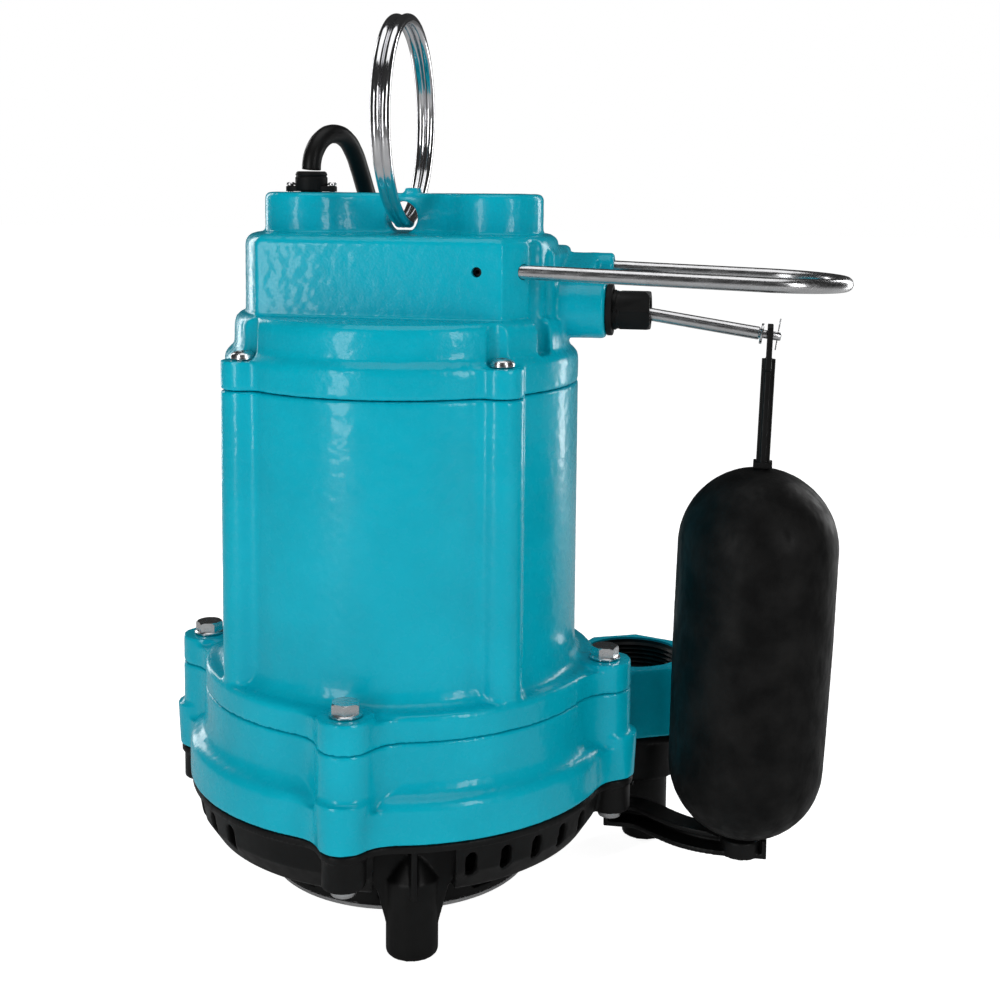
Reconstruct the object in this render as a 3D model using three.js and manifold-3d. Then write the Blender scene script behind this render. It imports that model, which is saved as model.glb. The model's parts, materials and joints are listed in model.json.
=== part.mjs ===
// Submersible sump pump with a vertical float switch.
// Millimetres, +Z up. The pump stands on Z = 0, and +X points from the pump to its float.
import * as THREE from 'three';
import { mergeVertices } from 'three/addons/utils/BufferGeometryUtils.js';
import Module from 'manifold-3d';

const wasm = await Module();
wasm.setup();

// Driving dimensions ---------------------------------------------------------------------------

const PUMP_AXIS = [-45.25, 0];         // where the pump's vertical axis stands
const GAP = 0.3;                       // clearance between touching pieces

// Facets round castings, bosses, small turned pieces and screw holes.
const CASTING_SIDES = 36;
const BOSS_SIDES = 12;
const SMALL_SIDES = 10;
const HOLE_SIDES = 6;

// Heights of the castings' joints, from the floor up.
const INLET_PLATE_Z = [9.5, 11.7];
const BASE_FLOOR_Z = 29;
const BASE_TOP_Z = 55;
const VOLUTE_TOP_Z = 96;
const HOUSING_FLANGE_Z = 107.6;
const HOUSING_TOP_Z = 235.7;
const COVER_FLANGE_Z = 248.5;
const CHAMBER_TOP_Z = 302;
const PLATFORM_TOP_Z = 320;

// Radii of the castings.
const HOUSING_R = 80.5;
const HOUSING_BORE_R = 74;
const FLANGE_R = 90.5;
const VOLUTE_R = 97.7;
const BASE_WALL_R = 95;
const CHAMBER_R = 71;
const CHAMBER_HALF_DEPTH = 46;

// Fasteners sit on these circles.
const COVER_SCREW_CIRCLE = 80;
const HOUSING_BOLT_CIRCLE = 95.2;
const BASE_SCREW_CIRCLE = 98.5;
const COVER_SCREW_ANGLES = [45, 135, 225, 315];
const LUG_ANGLES = [0, 90, 180, 270];

// Discharge port, for 1-1/4 inch pipe.
const PORT = { angle: 24.8, circle: 114.4, bottom: 64, top: 97.5, flat: 28, bore: 23.3, mouth: 20.9 };

// Float switch.
const LEVER_PIVOT = [100, 0, 269.3];
const LEVER_SLOPE = 8.6;               // degrees down, with the float hanging
const LEVER_R = 2.9;
const EYE = [165.9, 0, 259.3];
const FLOAT_LEAN = 1.83;               // degrees, towards the pump
const FLOAT_R = 35.5;
const FLOAT_Z = [31, 200];

// Float guard.
const GUARD_R = 3.175;
const GUARD_HALF_WIDTH = 35;
const GUARD_START = [60, 287.1];
const GUARD_ARC_X = 162.9;
const GUARD_SLOPE = 1.9;

// Lifting ring.
const RING = { x: 0.5, z: 352.2, radius: 45.6, wire: 2.4, pitch: 5.1, turns: 2 };
const RING_HOLE = { z: 309, radius: 7.3 };

// Supply cord.
const CORD_R = 4.4;
const GRIP = [-43.4, 0];
const SCREW_SPREAD = 9.9;              // of the grip's two screws, each side of the cord
const COIL = { x: -80, y: 178, inner: 36.5, outer: 63.5, top: 27 };

// Materials ------------------------------------------------------------------------------------

function finish(color, roughness, metalness) {
  return new THREE.MeshStandardMaterial({ color, roughness, metalness });
}

const TEAL_PAINT = finish(0x00a3bd, 0.3, 0.0);
const BLACK_PLASTIC = finish(0x1b1c1e, 0.5, 0.0);
const BLACK_RUBBER = finish(0x161616, 0.75, 0.0);
const STEEL = finish(0xb9bcbf, 0.25, 1.0);
const BRIGHT_STEEL = finish(0xd2d5d8, 0.15, 1.0);
const LAMINATION = finish(0x6d7074, 0.45, 0.9);
const COPPER = finish(0xb06a3a, 0.4, 0.9);
const BRASS = finish(0xc8a250, 0.3, 1.0);
const CERAMIC = finish(0xe4e0d6, 0.35, 0.0);
const GREY_PLASTIC = finish(0x55585c, 0.5, 0.0);

// Shapes ---------------------------------------------------------------------------------------

const radians = THREE.MathUtils.degToRad;

function polar(radius, angle) {
  return [radius * Math.cos(radians(angle)), radius * Math.sin(radians(angle))];
}

// Six times the signed volume of a triangle mesh: positive when its faces point out.
function signedVolume(points, triangles) {
  let sum = 0;
  const [a, b, c] = [new THREE.Vector3(), new THREE.Vector3(), new THREE.Vector3()];
  for (let i = 0; i < triangles.length; i += 3) {
    a.fromArray(points, 3 * triangles[i]);
    b.fromArray(points, 3 * triangles[i + 1]);
    c.fromArray(points, 3 * triangles[i + 2]);
    sum += a.dot(b.cross(c));
  }
  return sum;
}

// A closed geometry as a solid that can be joined and cut.
function solid(geometry) {
  const bare = geometry.clone();
  bare.deleteAttribute('normal');
  bare.deleteAttribute('uv');
  const merged = mergeVertices(bare, 1e-4);
  const points = Float32Array.from(merged.attributes.position.array);
  const index = merged.index.array;
  const triangles = [];
  for (let i = 0; i < index.length; i += 3) {
    const [a, b, c] = [index[i], index[i + 1], index[i + 2]];
    if (a !== b && b !== c && c !== a) {
      triangles.push(a, b, c);
    }
  }
  if (signedVolume(points, triangles) < 0) {
    triangles.reverse();
  }
  const triVerts = Uint32Array.from(triangles);
  return new wasm.Manifold(new wasm.Mesh({ numProp: 3, vertProperties: points, triVerts }));
}

function join(first, ...others) {
  return others.reduce((whole, part) => whole.add(part), first);
}

function cut(whole, ...tools) {
  return tools.reduce((left, tool) => left.subtract(tool), whole);
}

// Upright cylinder or cone.
function post(radius, low, high, x = 0, y = 0, sides = 24, topRadius = radius) {
  const geometry = new THREE.CylinderGeometry(topRadius, radius, high - low, sides);
  geometry.rotateX(Math.PI / 2);
  geometry.translate(x, y, (low + high) / 2);
  return solid(geometry);
}

// Cylinder along X.
function barX(radius, start, end, y, z, sides = 20) {
  const geometry = new THREE.CylinderGeometry(radius, radius, end - start, sides);
  geometry.rotateZ(Math.PI / 2);
  geometry.translate((start + end) / 2, y, z);
  return solid(geometry);
}

// Cylinder along Y.
function barY(radius, start, end, x, z, sides = 20) {
  const geometry = new THREE.CylinderGeometry(radius, radius, end - start, sides);
  geometry.translate(x, (start + end) / 2, z);
  return solid(geometry);
}

function blockGeometry([x0, x1], [y0, y1], [z0, z1]) {
  const geometry = new THREE.BoxGeometry(x1 - x0, y1 - y0, z1 - z0);
  geometry.translate((x0 + x1) / 2, (y0 + y1) / 2, (z0 + z1) / 2);
  return geometry;
}

function block(xs, ys, zs) {
  return solid(blockGeometry(xs, ys, zs));
}

// A block laid out along a radius at an angle: along is the radial span, across the tangential one.
function radialBlock(angle, along, across, zs) {
  const geometry = blockGeometry(along, across, zs);
  geometry.rotateZ(radians(angle));
  return solid(geometry);
}

// Upright prism with an optional chamfer round its top and bottom edges.
function prism(shape, low, high, chamfer = 0, curveSegments = 12) {
  const geometry = new THREE.ExtrudeGeometry(shape, {
    depth: high - low - 2 * chamfer,
    curveSegments,
    bevelEnabled: chamfer > 0,
    bevelThickness: chamfer,
    bevelSize: chamfer,
    bevelOffset: -chamfer,
    bevelSegments: 1,
  });
  geometry.translate(0, 0, low + chamfer);
  return solid(geometry);
}

function outline(points) {
  return new THREE.Shape(points.map(([x, y]) => new THREE.Vector2(x, y)));
}

function regularOutline(sides, radius, x = 0, y = 0, turn = 0) {
  const points = [];
  for (let i = 0; i < sides; i += 1) {
    const [dx, dy] = polar(radius, turn + (360 * i) / sides);
    points.push([x + dx, y + dy]);
  }
  return outline(points);
}

// Solid of revolution about Z: profile points are [radius, height].
function turned(profile, sides = 40) {
  const closed = profile[0][0] === 0 ? profile : [...profile, profile[0]];
  const points = closed.map(([radius, height]) => new THREE.Vector2(radius, height));
  const geometry = new THREE.LatheGeometry(points, sides);
  geometry.rotateX(Math.PI / 2);
  return solid(geometry);
}

function ringProfile(inner, outer, low, high) {
  return [[inner, low], [outer, low], [outer, high], [inner, high]];
}

// Round section swept along a curve.
function sweptGeometry(curve, radius, steps, sides = 10) {
  return new THREE.ExtrudeGeometry(regularOutline(sides, radius), {
    steps,
    bevelEnabled: false,
    extrudePath: curve,
  });
}

function curveThrough(points) {
  return new THREE.CatmullRomCurve3(points.map((point) => new THREE.Vector3(...point)));
}

// The same solid turned about a horizontal line along Y through a point, by degrees.
function turnAboutY(geometry, [x, , z], angle) {
  geometry.translate(-x, 0, -z);
  geometry.rotateY(radians(angle));
  geometry.translate(x, 0, z);
  return geometry;
}

// Back from a solid to a geometry that a mesh can show.
function geometryOf(part) {
  const { vertProperties, triVerts } = part.getMesh();
  const geometry = new THREE.BufferGeometry();
  geometry.setAttribute('position', new THREE.BufferAttribute(vertProperties, 3));
  geometry.setIndex(new THREE.BufferAttribute(triVerts, 1));
  geometry.computeVertexNormals();
  return geometry;
}

const pump = new THREE.Group();
pump.position.set(PUMP_AXIS[0], PUMP_AXIS[1], 0);

function addPiece(name, part, material) {
  const mesh = new THREE.Mesh(geometryOf(part), material);
  mesh.name = name;
  pump.add(mesh);
}

// Cover ----------------------------------------------------------------------------------------

// Plan of the chamber: a circle with a flat front and a flat back.
function flattedOutline(radius, halfDepth) {
  const corner = Math.asin(halfDepth / radius);
  const shape = new THREE.Shape();
  shape.absarc(0, 0, radius, -corner, corner, false);
  shape.absarc(0, 0, radius, Math.PI - corner, Math.PI + corner, false);
  shape.closePath();
  return shape;
}

// Plan of the platform: two round lobes joined by a waist that carries the lifting ring.
function platformOutline() {
  const lobeX = 43;
  const lobeR = 21.5;
  const waistX = 27;
  const waistHalf = 4.7;
  const waistY = Math.sqrt(lobeR ** 2 - (lobeX - waistX) ** 2);
  const sagitta = waistY - waistHalf;
  const waistR = (waistX ** 2 + sagitta ** 2) / (2 * sagitta);
  const waistCentre = waistHalf + waistR;
  const lobeAngle = Math.atan2(waistY, waistX - lobeX);
  const waistAngle = Math.atan2(waistY - waistCentre, waistX);
  const shape = new THREE.Shape();
  shape.absarc(lobeX, 0, lobeR, -lobeAngle, lobeAngle, false);
  shape.absarc(0, waistCentre, waistR, waistAngle, -Math.PI - waistAngle, true);
  shape.absarc(-lobeX, 0, lobeR, Math.PI - lobeAngle, Math.PI + lobeAngle, false);
  shape.absarc(0, -waistCentre, waistR, Math.PI + waistAngle, -waistAngle, true);
  return shape;
}

// Outline round two circles [across, up, radius], for a boss that holds two bores.
function twinOutline([y0, z0, r0], [y1, z1, r1]) {
  const between = Math.atan2(z1 - z0, y1 - y0);
  const lean = Math.acos((r0 - r1) / Math.hypot(y1 - y0, z1 - z0));
  const shape = new THREE.Shape();
  shape.absarc(y0, z0, r0, between + lean, between - lean + 2 * Math.PI, false);
  shape.absarc(y1, z1, r1, between - lean, between + lean, false);
  return shape;
}

// A prism along X, from an outline drawn in Y and Z.
function prismX(shape, start, end) {
  const geometry = new THREE.ExtrudeGeometry(shape, {
    depth: end - start,
    curveSegments: 6,
    bevelEnabled: false,
  });
  geometry.rotateX(Math.PI / 2);
  geometry.rotateZ(Math.PI / 2);
  geometry.translate(start, 0, 0);
  return solid(geometry);
}

const SWITCH_BOSS = { radius: 13, face: 93.8, bore: 9.3, z: 269 };
const GUARD_BOSS = { radius: 6.8, face: 93.3, z: 286 };
const SET_SCREW = { x: 43.2, z: 287.3, radius: 1.9 };

function guardBore(side, start, end) {
  const geometry = new THREE.CylinderGeometry(GUARD_R + GAP, GUARD_R + GAP, end - start, SMALL_SIDES);
  geometry.rotateZ(Math.PI / 2);
  geometry.translate((start + end) / 2, side * GUARD_HALF_WIDTH, GUARD_START[1]);
  return solid(turnAboutY(geometry, [GUARD_START[0], 0, GUARD_START[1]], GUARD_SLOPE));
}

function makeCover() {
  const low = HOUSING_TOP_Z + GAP;
  const skirt = turned([
    [0, low], [HOUSING_R, low], [HOUSING_R, COVER_FLANGE_Z], [78.5, 250.5],
    [76.6, 252], [76, 263.5], [73, 266.5], [0, 266.5],
  ], CASTING_SIDES);
  const bosses = COVER_SCREW_ANGLES.map((angle) => (
    post(9.5, low, COVER_FLANGE_Z, ...polar(COVER_SCREW_CIRCLE, angle), BOSS_SIDES)
  ));
  const chamber = prism(flattedOutline(CHAMBER_R, CHAMBER_HALF_DEPTH), 256, CHAMBER_TOP_Z, 5, 8);
  const platform = prism(platformOutline(), 290, PLATFORM_TOP_Z, 2, 6);
  const webNub = block([1.5, 7.5], [-4, 4], [315, 322.3]);
  const switchHousing = block([40, 72], [-17, 44], [250, 296]);
  const twin = twinOutline(
    [0, SWITCH_BOSS.z, SWITCH_BOSS.radius],
    [GUARD_HALF_WIDTH, GUARD_BOSS.z, GUARD_BOSS.radius],
  );
  const bossBridge = prismX(twin, 60, 86);
  const switchBoss = barX(SWITCH_BOSS.radius, 60, SWITCH_BOSS.face, 0, SWITCH_BOSS.z, 20);
  const guardBoss = barX(GUARD_BOSS.radius, 55, GUARD_BOSS.face, GUARD_HALF_WIDTH, GUARD_BOSS.z, BOSS_SIDES);
  const outside = join(
    skirt, ...bosses, chamber, platform, webNub, switchHousing, bossBridge, switchBoss, guardBoss,
  );
  const channel = post(5.5, 251, 300, 68, -28.5, 16);
  const lowerRoom = post(70, low - 1, 261, 0, 0, 32);
  const upperRoom = prism(flattedOutline(64, 28), 255, 295, 0, 4);
  const switchBore = barX(SWITCH_BOSS.bore, 55, SWITCH_BOSS.face + 1, 0, SWITCH_BOSS.z, BOSS_SIDES);
  const cordBore = post(5.2, 290, 322, ...GRIP, SMALL_SIDES);
  const ringHole = barY(RING_HOLE.radius, -22, 22, RING.x, RING_HOLE.z, 20);
  const setScrewHole = barY(SET_SCREW.radius + GAP, -50, -37, SET_SCREW.x, SET_SCREW.z, HOLE_SIDES);
  const headRooms = COVER_SCREW_ANGLES.map((angle) => (
    post(6.6, COVER_FLANGE_Z, 280, ...polar(COVER_SCREW_CIRCLE, angle), BOSS_SIDES)
  ));
  const screwHoles = COVER_SCREW_ANGLES.map((angle) => (
    post(2.7, low - 1, COVER_FLANGE_Z + 4, ...polar(COVER_SCREW_CIRCLE, angle), HOLE_SIDES)
  ));
  const gripHoles = [-1, 1].map((side) => post(1.7, 312, 321, GRIP[0] + side * SCREW_SPREAD, 0, HOLE_SIDES));
  return cut(
    outside, channel, ...headRooms, lowerRoom, upperRoom, switchBore, cordBore, ringHole, setScrewHole,
    ...screwHoles, ...gripHoles, guardBore(-1, 36, 70), guardBore(1, 52, 100),
  );
}

addPiece('cover', makeCover(), TEAL_PAINT);

// A ring seal between two castings lies in a groove in the lower one.
function sealRing(radius, faceZ) {
  return turned(ringProfile(radius - 0.9, radius + 0.9, faceZ - 2.1, faceZ), 28);
}

function sealGroove(radius, faceZ) {
  return turned(ringProfile(radius - 1.2, radius + 1.2, faceZ - 2.4, faceZ + 1), 28);
}

const COVER_SEAL_R = 75.8;
const HOUSING_SEAL_R = 82;
addPiece('cover_seal_ring', sealRing(COVER_SEAL_R, HOUSING_TOP_Z), BLACK_RUBBER);
addPiece('housing_seal_ring', sealRing(HOUSING_SEAL_R, VOLUTE_TOP_Z), BLACK_RUBBER);

// Motor housing --------------------------------------------------------------------------------

const BEARING_SEAT = { radius: 20.3, low: 112, high: 124.8 };

function makeHousing() {
  const low = VOLUTE_TOP_Z + GAP;
  const barrel = turned([
    [0, low], [FLANGE_R, low], [FLANGE_R, HOUSING_FLANGE_Z - 1.5], [FLANGE_R - 1.5, HOUSING_FLANGE_Z],
    [83, HOUSING_FLANGE_Z + 1], [HOUSING_R + 0.6, HOUSING_FLANGE_Z + 4],
    [HOUSING_R, HOUSING_TOP_Z], [0, HOUSING_TOP_Z],
  ], CASTING_SIDES);
  const ribs = COVER_SCREW_ANGLES.map((angle) => (
    post(9.5, low + 4, HOUSING_TOP_Z, ...polar(COVER_SCREW_CIRCLE, angle), BOSS_SIDES)
  ));
  const bosses = LUG_ANGLES.map((angle) => (
    post(12, low, HOUSING_FLANGE_Z + 1.4, ...polar(HOUSING_BOLT_CIRCLE, angle), BOSS_SIDES)
  ));
  const hub = turned([[0, 108], [26, 108], [24, BEARING_SEAT.high], [0, BEARING_SEAT.high]], 24);
  const room = turned([[0, 112], [HOUSING_BORE_R, 112], [HOUSING_BORE_R, 240], [0, 240]], CASTING_SIDES);
  const shell = join(cut(join(barrel, ...ribs, ...bosses), room), hub);
  const bearingBore = post(BEARING_SEAT.radius, BEARING_SEAT.low, 130, 0, 0, 24);
  const shaftBore = post(14, low - 1, 115, 0, 0, 20);
  const boltHoles = LUG_ANGLES.map((angle) => (
    post(3.5, low - 1, 112, ...polar(HOUSING_BOLT_CIRCLE, angle), HOLE_SIDES)
  ));
  const screwHoles = COVER_SCREW_ANGLES.map((angle) => (
    post(2.7, HOUSING_TOP_Z - 16, 240, ...polar(COVER_SCREW_CIRCLE, angle), HOLE_SIDES)
  ));
  return cut(
    shell, bearingBore, shaftBore, sealGroove(COVER_SEAL_R, HOUSING_TOP_Z), ...boltHoles, ...screwHoles,
  );
}

addPiece('motor_housing', makeHousing(), TEAL_PAINT);

// Volute ---------------------------------------------------------------------------------------

const IMPELLER_ROOM = { radius: 66, top: 88 };
const portCentre = polar(PORT.circle, PORT.angle);

function portOutline(flat) {
  return regularOutline(8, flat / Math.cos(Math.PI / 8), ...portCentre, PORT.angle + 22.5);
}

// Space round the discharge port, where the casting is divided so that the port is a node of its own.
function portSpace(gap) {
  const half = 27.5 - gap;
  return join(
    radialBlock(PORT.angle, [89 + gap, 101], [-half, half], [50, 102]),
    radialBlock(PORT.angle, [100, 145], [-29, 29], [50, 102]),
  );
}

function makeCasting() {
  const low = BASE_TOP_Z + GAP;
  const ring = turned([
    [0, low], [VOLUTE_R, low], [VOLUTE_R, 70.5], [96.6, 73], [93, 74.6], [91, 77.5],
    [FLANGE_R, 80], [FLANGE_R, VOLUTE_TOP_Z], [0, VOLUTE_TOP_Z],
  ], CASTING_SIDES);
  const lugs = LUG_ANGLES.flatMap((angle) => [
    post(12, low + 12, VOLUTE_TOP_Z, ...polar(HOUSING_BOLT_CIRCLE, angle), BOSS_SIDES),
    post(11, low, 76, ...polar(BASE_SCREW_CIRCLE, angle), BOSS_SIDES, 12),
  ]);
  const port = prism(portOutline(PORT.flat), PORT.bottom, PORT.top, 1.4);
  const neck = radialBlock(PORT.angle, [60, PORT.circle - 8], [-24, 24], [PORT.bottom, 91]);
  const flangeRoom = turned(ringProfile(20, 93, VOLUTE_TOP_Z, 101), CASTING_SIDES);
  const bossRooms = [0, 90].map((angle) => (
    post(13.4, VOLUTE_TOP_Z, 101, ...polar(HOUSING_BOLT_CIRCLE, angle), BOSS_SIDES)
  ));
  const outside = join(ring, ...lugs, cut(port, flangeRoom, ...bossRooms), neck);
  const room = post(IMPELLER_ROOM.radius, low - 1, IMPELLER_ROOM.top, 0, 0, 32);
  const passage = radialBlock(PORT.angle, [55, PORT.circle], [-14, 14], [66, 76]);
  const bore = post(PORT.bore, PORT.bottom - 1, PORT.top + 1, ...portCentre, 32);
  const sealBore = post(14, 80, 100, 0, 0, 20);
  const boltHoles = LUG_ANGLES.map((angle) => (
    post(3.5, 81, 100, ...polar(HOUSING_BOLT_CIRCLE, angle), HOLE_SIDES)
  ));
  const screwHoles = LUG_ANGLES.map((angle) => (
    post(3.1, low - 1, 71, ...polar(BASE_SCREW_CIRCLE, angle), HOLE_SIDES)
  ));
  return cut(
    outside, room, passage, bore, sealBore, sealGroove(HOUSING_SEAL_R, VOLUTE_TOP_Z),
    ...boltHoles, ...screwHoles,
  );
}

const casting = makeCasting();
addPiece('volute_casing', cut(casting, portSpace(0)), TEAL_PAINT);
addPiece('discharge_port', casting.intersect(portSpace(GAP)), TEAL_PAINT);

// Threaded liner of the discharge port.
function makeLiner() {
  const outer = PORT.bore - GAP;
  const sleeve = post(outer, 78, PORT.top - 0.9, ...portCentre, 32);
  return cut(sleeve, post(PORT.mouth, 77, PORT.top + 1, ...portCentre, 32));
}

addPiece('discharge_liner', makeLiner(), BLACK_PLASTIC);

// Base -----------------------------------------------------------------------------------------

const FOOT = { circle: 76.3, radius: 11.15, angles: [-72.8, 160] };
const PORT_FOOT = [109.6, 64.1];
const ELBOW = { radius: 24, low: 41.5, lip: 27 };
const SLOT = { pitch: 10, width: 5.2, low: 37.5, high: 48.5 };
const DRUM = { outer: 61, inner: 58, slots: 9 };
const ARM_SCREW = [101, 37];

// Sectors of the wall that stay plain: [middle angle, half width].
const PLAIN_SECTORS = [[0, 12], [90, 12], [180, 12], [270, 31], [24.8, 26], [160, 17]];

function isPlain(angle) {
  return PLAIN_SECTORS.some(([middle, half]) => {
    const apart = Math.abs(((angle - middle + 540) % 360) - 180);
    return apart < half;
  });
}

function wallSlots() {
  const slots = [];
  for (let angle = 2; angle < 360; angle += SLOT.pitch) {
    if (!isPlain(angle)) {
      const half = SLOT.width / 2;
      slots.push(radialBlock(angle, [80, 100], [-half, half], [SLOT.low, SLOT.high]));
    }
  }
  return slots;
}

function drumSlots() {
  const slots = [];
  for (let i = 0; i < DRUM.slots; i += 1) {
    slots.push(radialBlock((360 * i) / DRUM.slots, [50, 70], [-6, 6], [15, 27]));
  }
  return slots;
}

// A recess in the wall behind a foot, and the foot with its gussets and rib.
function footRecess(angle) {
  return radialBlock(angle, [73, 100], [-17, 17], [20, 51.5]);
}

function footPieces(angle) {
  const across = outline([[-21, 51.8], [-11, 13], [11, 13], [21, 51.8]]);
  const gusset = new THREE.ExtrudeGeometry(across, { depth: 2.4, bevelEnabled: false });
  gusset.rotateX(Math.PI / 2);
  gusset.rotateZ(Math.PI / 2);
  gusset.translate(77, 0, 0);
  gusset.rotateZ(radians(angle));
  return [
    post(FOOT.radius, 0, 33, ...polar(FOOT.circle, angle), BOSS_SIDES),
    radialBlock(angle, [70, 72.5], [-18, 18], [30, 53]),
    radialBlock(angle, [70, 79.4], [-18, -15.6], [30, 53]),
    radialBlock(angle, [70, 79.4], [15.6, 18], [30, 53]),
    solid(gusset),
    radialBlock(angle, [70, 90], [-1.3, 1.3], [28, 53]),
  ];
}

function makeBase() {
  const top = post(VOLUTE_R - 0.7, 51.8, BASE_TOP_Z, 0, 0, CASTING_SIDES);
  const wall = turned([
    [BASE_WALL_R, 52.5], [93, 40], [87, 31], [84, BASE_FLOOR_Z],
    [DRUM.outer, BASE_FLOOR_Z], [DRUM.outer, 12], [DRUM.inner, 12], [DRUM.inner, 32],
    [83, 32], [89.3, 40], [91.2, 52.5],
  ], CASTING_SIDES);
  const screwPosts = LUG_ANGLES.map((angle) => (
    post(9.2, 38.6, BASE_TOP_Z, ...polar(BASE_SCREW_CIRCLE, angle), BOSS_SIDES)
  ));
  const feet = FOOT.angles.flatMap((angle) => footPieces(angle));
  const elbowOutside = join(
    post(ELBOW.radius, ELBOW.low, 61, ...portCentre, 24),
    prism(portOutline(ELBOW.lip), 60.6, PORT.bottom - GAP),
    post(11, 0, ELBOW.low + 2, ...PORT_FOOT, BOSS_SIDES),
    radialBlock(PORT.angle, [88, PORT.circle], [-14, 14], [ELBOW.low, 53]),
  );
  const casingRoom = post(VOLUTE_R + GAP, BASE_TOP_Z, 70, 0, 0, CASTING_SIDES);
  const lugRoom = post(12.3, BASE_TOP_Z, 80, ...polar(BASE_SCREW_CIRCLE, 0), BOSS_SIDES);
  const elbow = cut(elbowOutside, casingRoom, lugRoom);
  const body = cut(join(top, wall), ...FOOT.angles.map(footRecess), ...wallSlots(), ...drumSlots());
  const whole = join(body, ...screwPosts, ...feet, elbow);
  const eye = post(22, 45, 60, 0, 0, 24);
  const sump = cut(post(19.5, 47, 70, ...portCentre, 20), post(VOLUTE_R + 3, 40, 72, 0, 0, CASTING_SIDES));
  const screwHoles = LUG_ANGLES.map((angle) => (
    post(3.1, 35, 60, ...polar(BASE_SCREW_CIRCLE, angle), HOLE_SIDES)
  ));
  return cut(whole, eye, sump, post(2.3, 38, 46.5, ...ARM_SCREW, HOLE_SIDES), ...screwHoles);
}

addPiece('base', makeBase(), BLACK_PLASTIC);

// Steel plate under the base, with a ring of inlet holes.
function makeInletPlate() {
  const plate = post(60.2, ...INLET_PLATE_Z, 0, 0, CASTING_SIDES);
  const holes = [];
  for (let i = 0; i < 8; i += 1) {
    holes.push(post(7, 5, 15, ...polar(38, 22.5 + 45 * i), 10));
  }
  return cut(plate, ...holes);
}

addPiece('inlet_plate', makeInletPlate(), STEEL);

// Float rest arm -------------------------------------------------------------------------------

const ARM = { z: [22, 32.6], half: 6, skin: 2.2 };
const ARM_LINE = [[94, 22], [106, 22.3], [114, 19.5], [124, 11], [134, 4.6], [147, 1], [170, 0.6]];

// A strip of the arm's plan between two offsets from its middle line.
function armStrip(right, left) {
  const points = ARM_LINE.map(([x, y]) => new THREE.Vector2(x, y));
  const line = new THREE.SplineCurve(points);
  const steps = 12;
  const sides = [right, left].map((offset) => {
    const side = [];
    for (let i = 0; i <= steps; i += 1) {
      const point = line.getPointAt(i / steps);
      const along = line.getTangentAt(i / steps);
      side.push([point.x - offset * along.y, point.y + offset * along.x]);
    }
    return side;
  });
  return outline([...sides[0], ...sides[1].reverse()]);
}

function makeArm() {
  const [low, high] = ARM.z;
  const full = armStrip(-ARM.half, ARM.half);
  const web = armStrip(ARM.half - ARM.skin, ARM.half);
  const channel = join(
    prism(full, low, low + ARM.skin),
    prism(full, high - ARM.skin, high),
    prism(web, low, high),
  );
  const endPlate = block([168, 170.2], [-5.4, 6.6], [low, high]);
  const startPlate = block([94, 96.2], [16, 28], [low, high]);
  const pad = post(9, low, 29.8, 158.5, 0.6, BOSS_SIDES);
  const riser = block([94, 104], [25.6, 28], [low, 41.2]);
  const tab = block([94, 107], [25.6, 42], [38.7, 41.2]);
  const floatRoom = new THREE.SphereGeometry(FLOAT_R + 5.8, 16, 10);
  floatRoom.scale(1, 1, 0.9);
  floatRoom.translate(159.7, 0, 66.5);
  const arm = cut(join(channel, endPlate, startPlate, riser, tab), solid(floatRoom));
  const screwHole = post(2.3, 30, 50, ...ARM_SCREW, HOLE_SIDES);
  return cut(join(arm, pad), screwHole);
}

addPiece('float_rest_arm', makeArm(), BLACK_PLASTIC);

// Fasteners ------------------------------------------------------------------------------------

// Hex bolt with a flange under its head; it points down from its seat.
function hexBolt(x, y, seatZ, length, turn) {
  return join(
    post(7, seatZ, seatZ + 1.2, x, y, BOSS_SIDES),
    prism(regularOutline(6, 6.4, x, y, turn), seatZ + 1, seatZ + 5.6),
    post(3, seatZ - length, seatZ + 1, x, y, HOLE_SIDES),
  );
}

// Screw with a domed head on top of its seat.
function panScrew(x, y, seatZ, headR, shankR, length) {
  return join(
    post(headR, seatZ, seatZ + 1.8, x, y, SMALL_SIDES),
    post(headR, seatZ + 1.8, seatZ + 3.4, x, y, SMALL_SIDES, headR * 0.62),
    post(shankR, seatZ - length, seatZ + 1, x, y, HOLE_SIDES),
  );
}

// Screw driven upwards, with its flat head below its seat.
function upScrew(x, y, seatZ, headR, shankR, length) {
  return join(
    post(headR - 0.8, seatZ - 3.6, seatZ, x, y, SMALL_SIDES, headR),
    post(shankR, seatZ - 1, seatZ + length, x, y, HOLE_SIDES),
  );
}

LUG_ANGLES.forEach((angle, i) => {
  const bolt = polar(HOUSING_BOLT_CIRCLE, angle);
  const screw = polar(BASE_SCREW_CIRCLE, angle);
  const bossTop = HOUSING_FLANGE_Z + 1.4;
  addPiece(`housing_bolt_${i + 1}`, hexBolt(...bolt, bossTop + GAP, 25, 12 + angle / 3), STEEL);
  addPiece(`base_screw_${i + 1}`, upScrew(...screw, 38.6 - GAP, 5.8, 2.6, 30), STEEL);
});
COVER_SCREW_ANGLES.forEach((angle, i) => {
  const [x, y] = polar(COVER_SCREW_CIRCLE, angle);
  addPiece(`cover_screw_${i + 1}`, panScrew(x, y, COVER_FLANGE_Z + GAP, 5.25, 2.3, 26), STEEL);
});
addPiece('arm_screw', upScrew(...ARM_SCREW, 38.7 - GAP, 4, 1.9, 7.5), STEEL);

// Lifting ring ---------------------------------------------------------------------------------

class SplitRingCurve extends THREE.Curve {
  getPoint(t) {
    const angle = -Math.PI / 2 + 2 * Math.PI * RING.turns * t;
    const x = RING.x + RING.pitch * (RING.turns * t - RING.turns / 2);
    const half = RING.pitch / 2;
    const shift = Math.max(-half, Math.min(half, x - RING.x));
    return new THREE.Vector3(
      RING.x + shift,
      RING.radius * Math.cos(angle),
      RING.z + RING.radius * Math.sin(angle),
    );
  }
}

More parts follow.
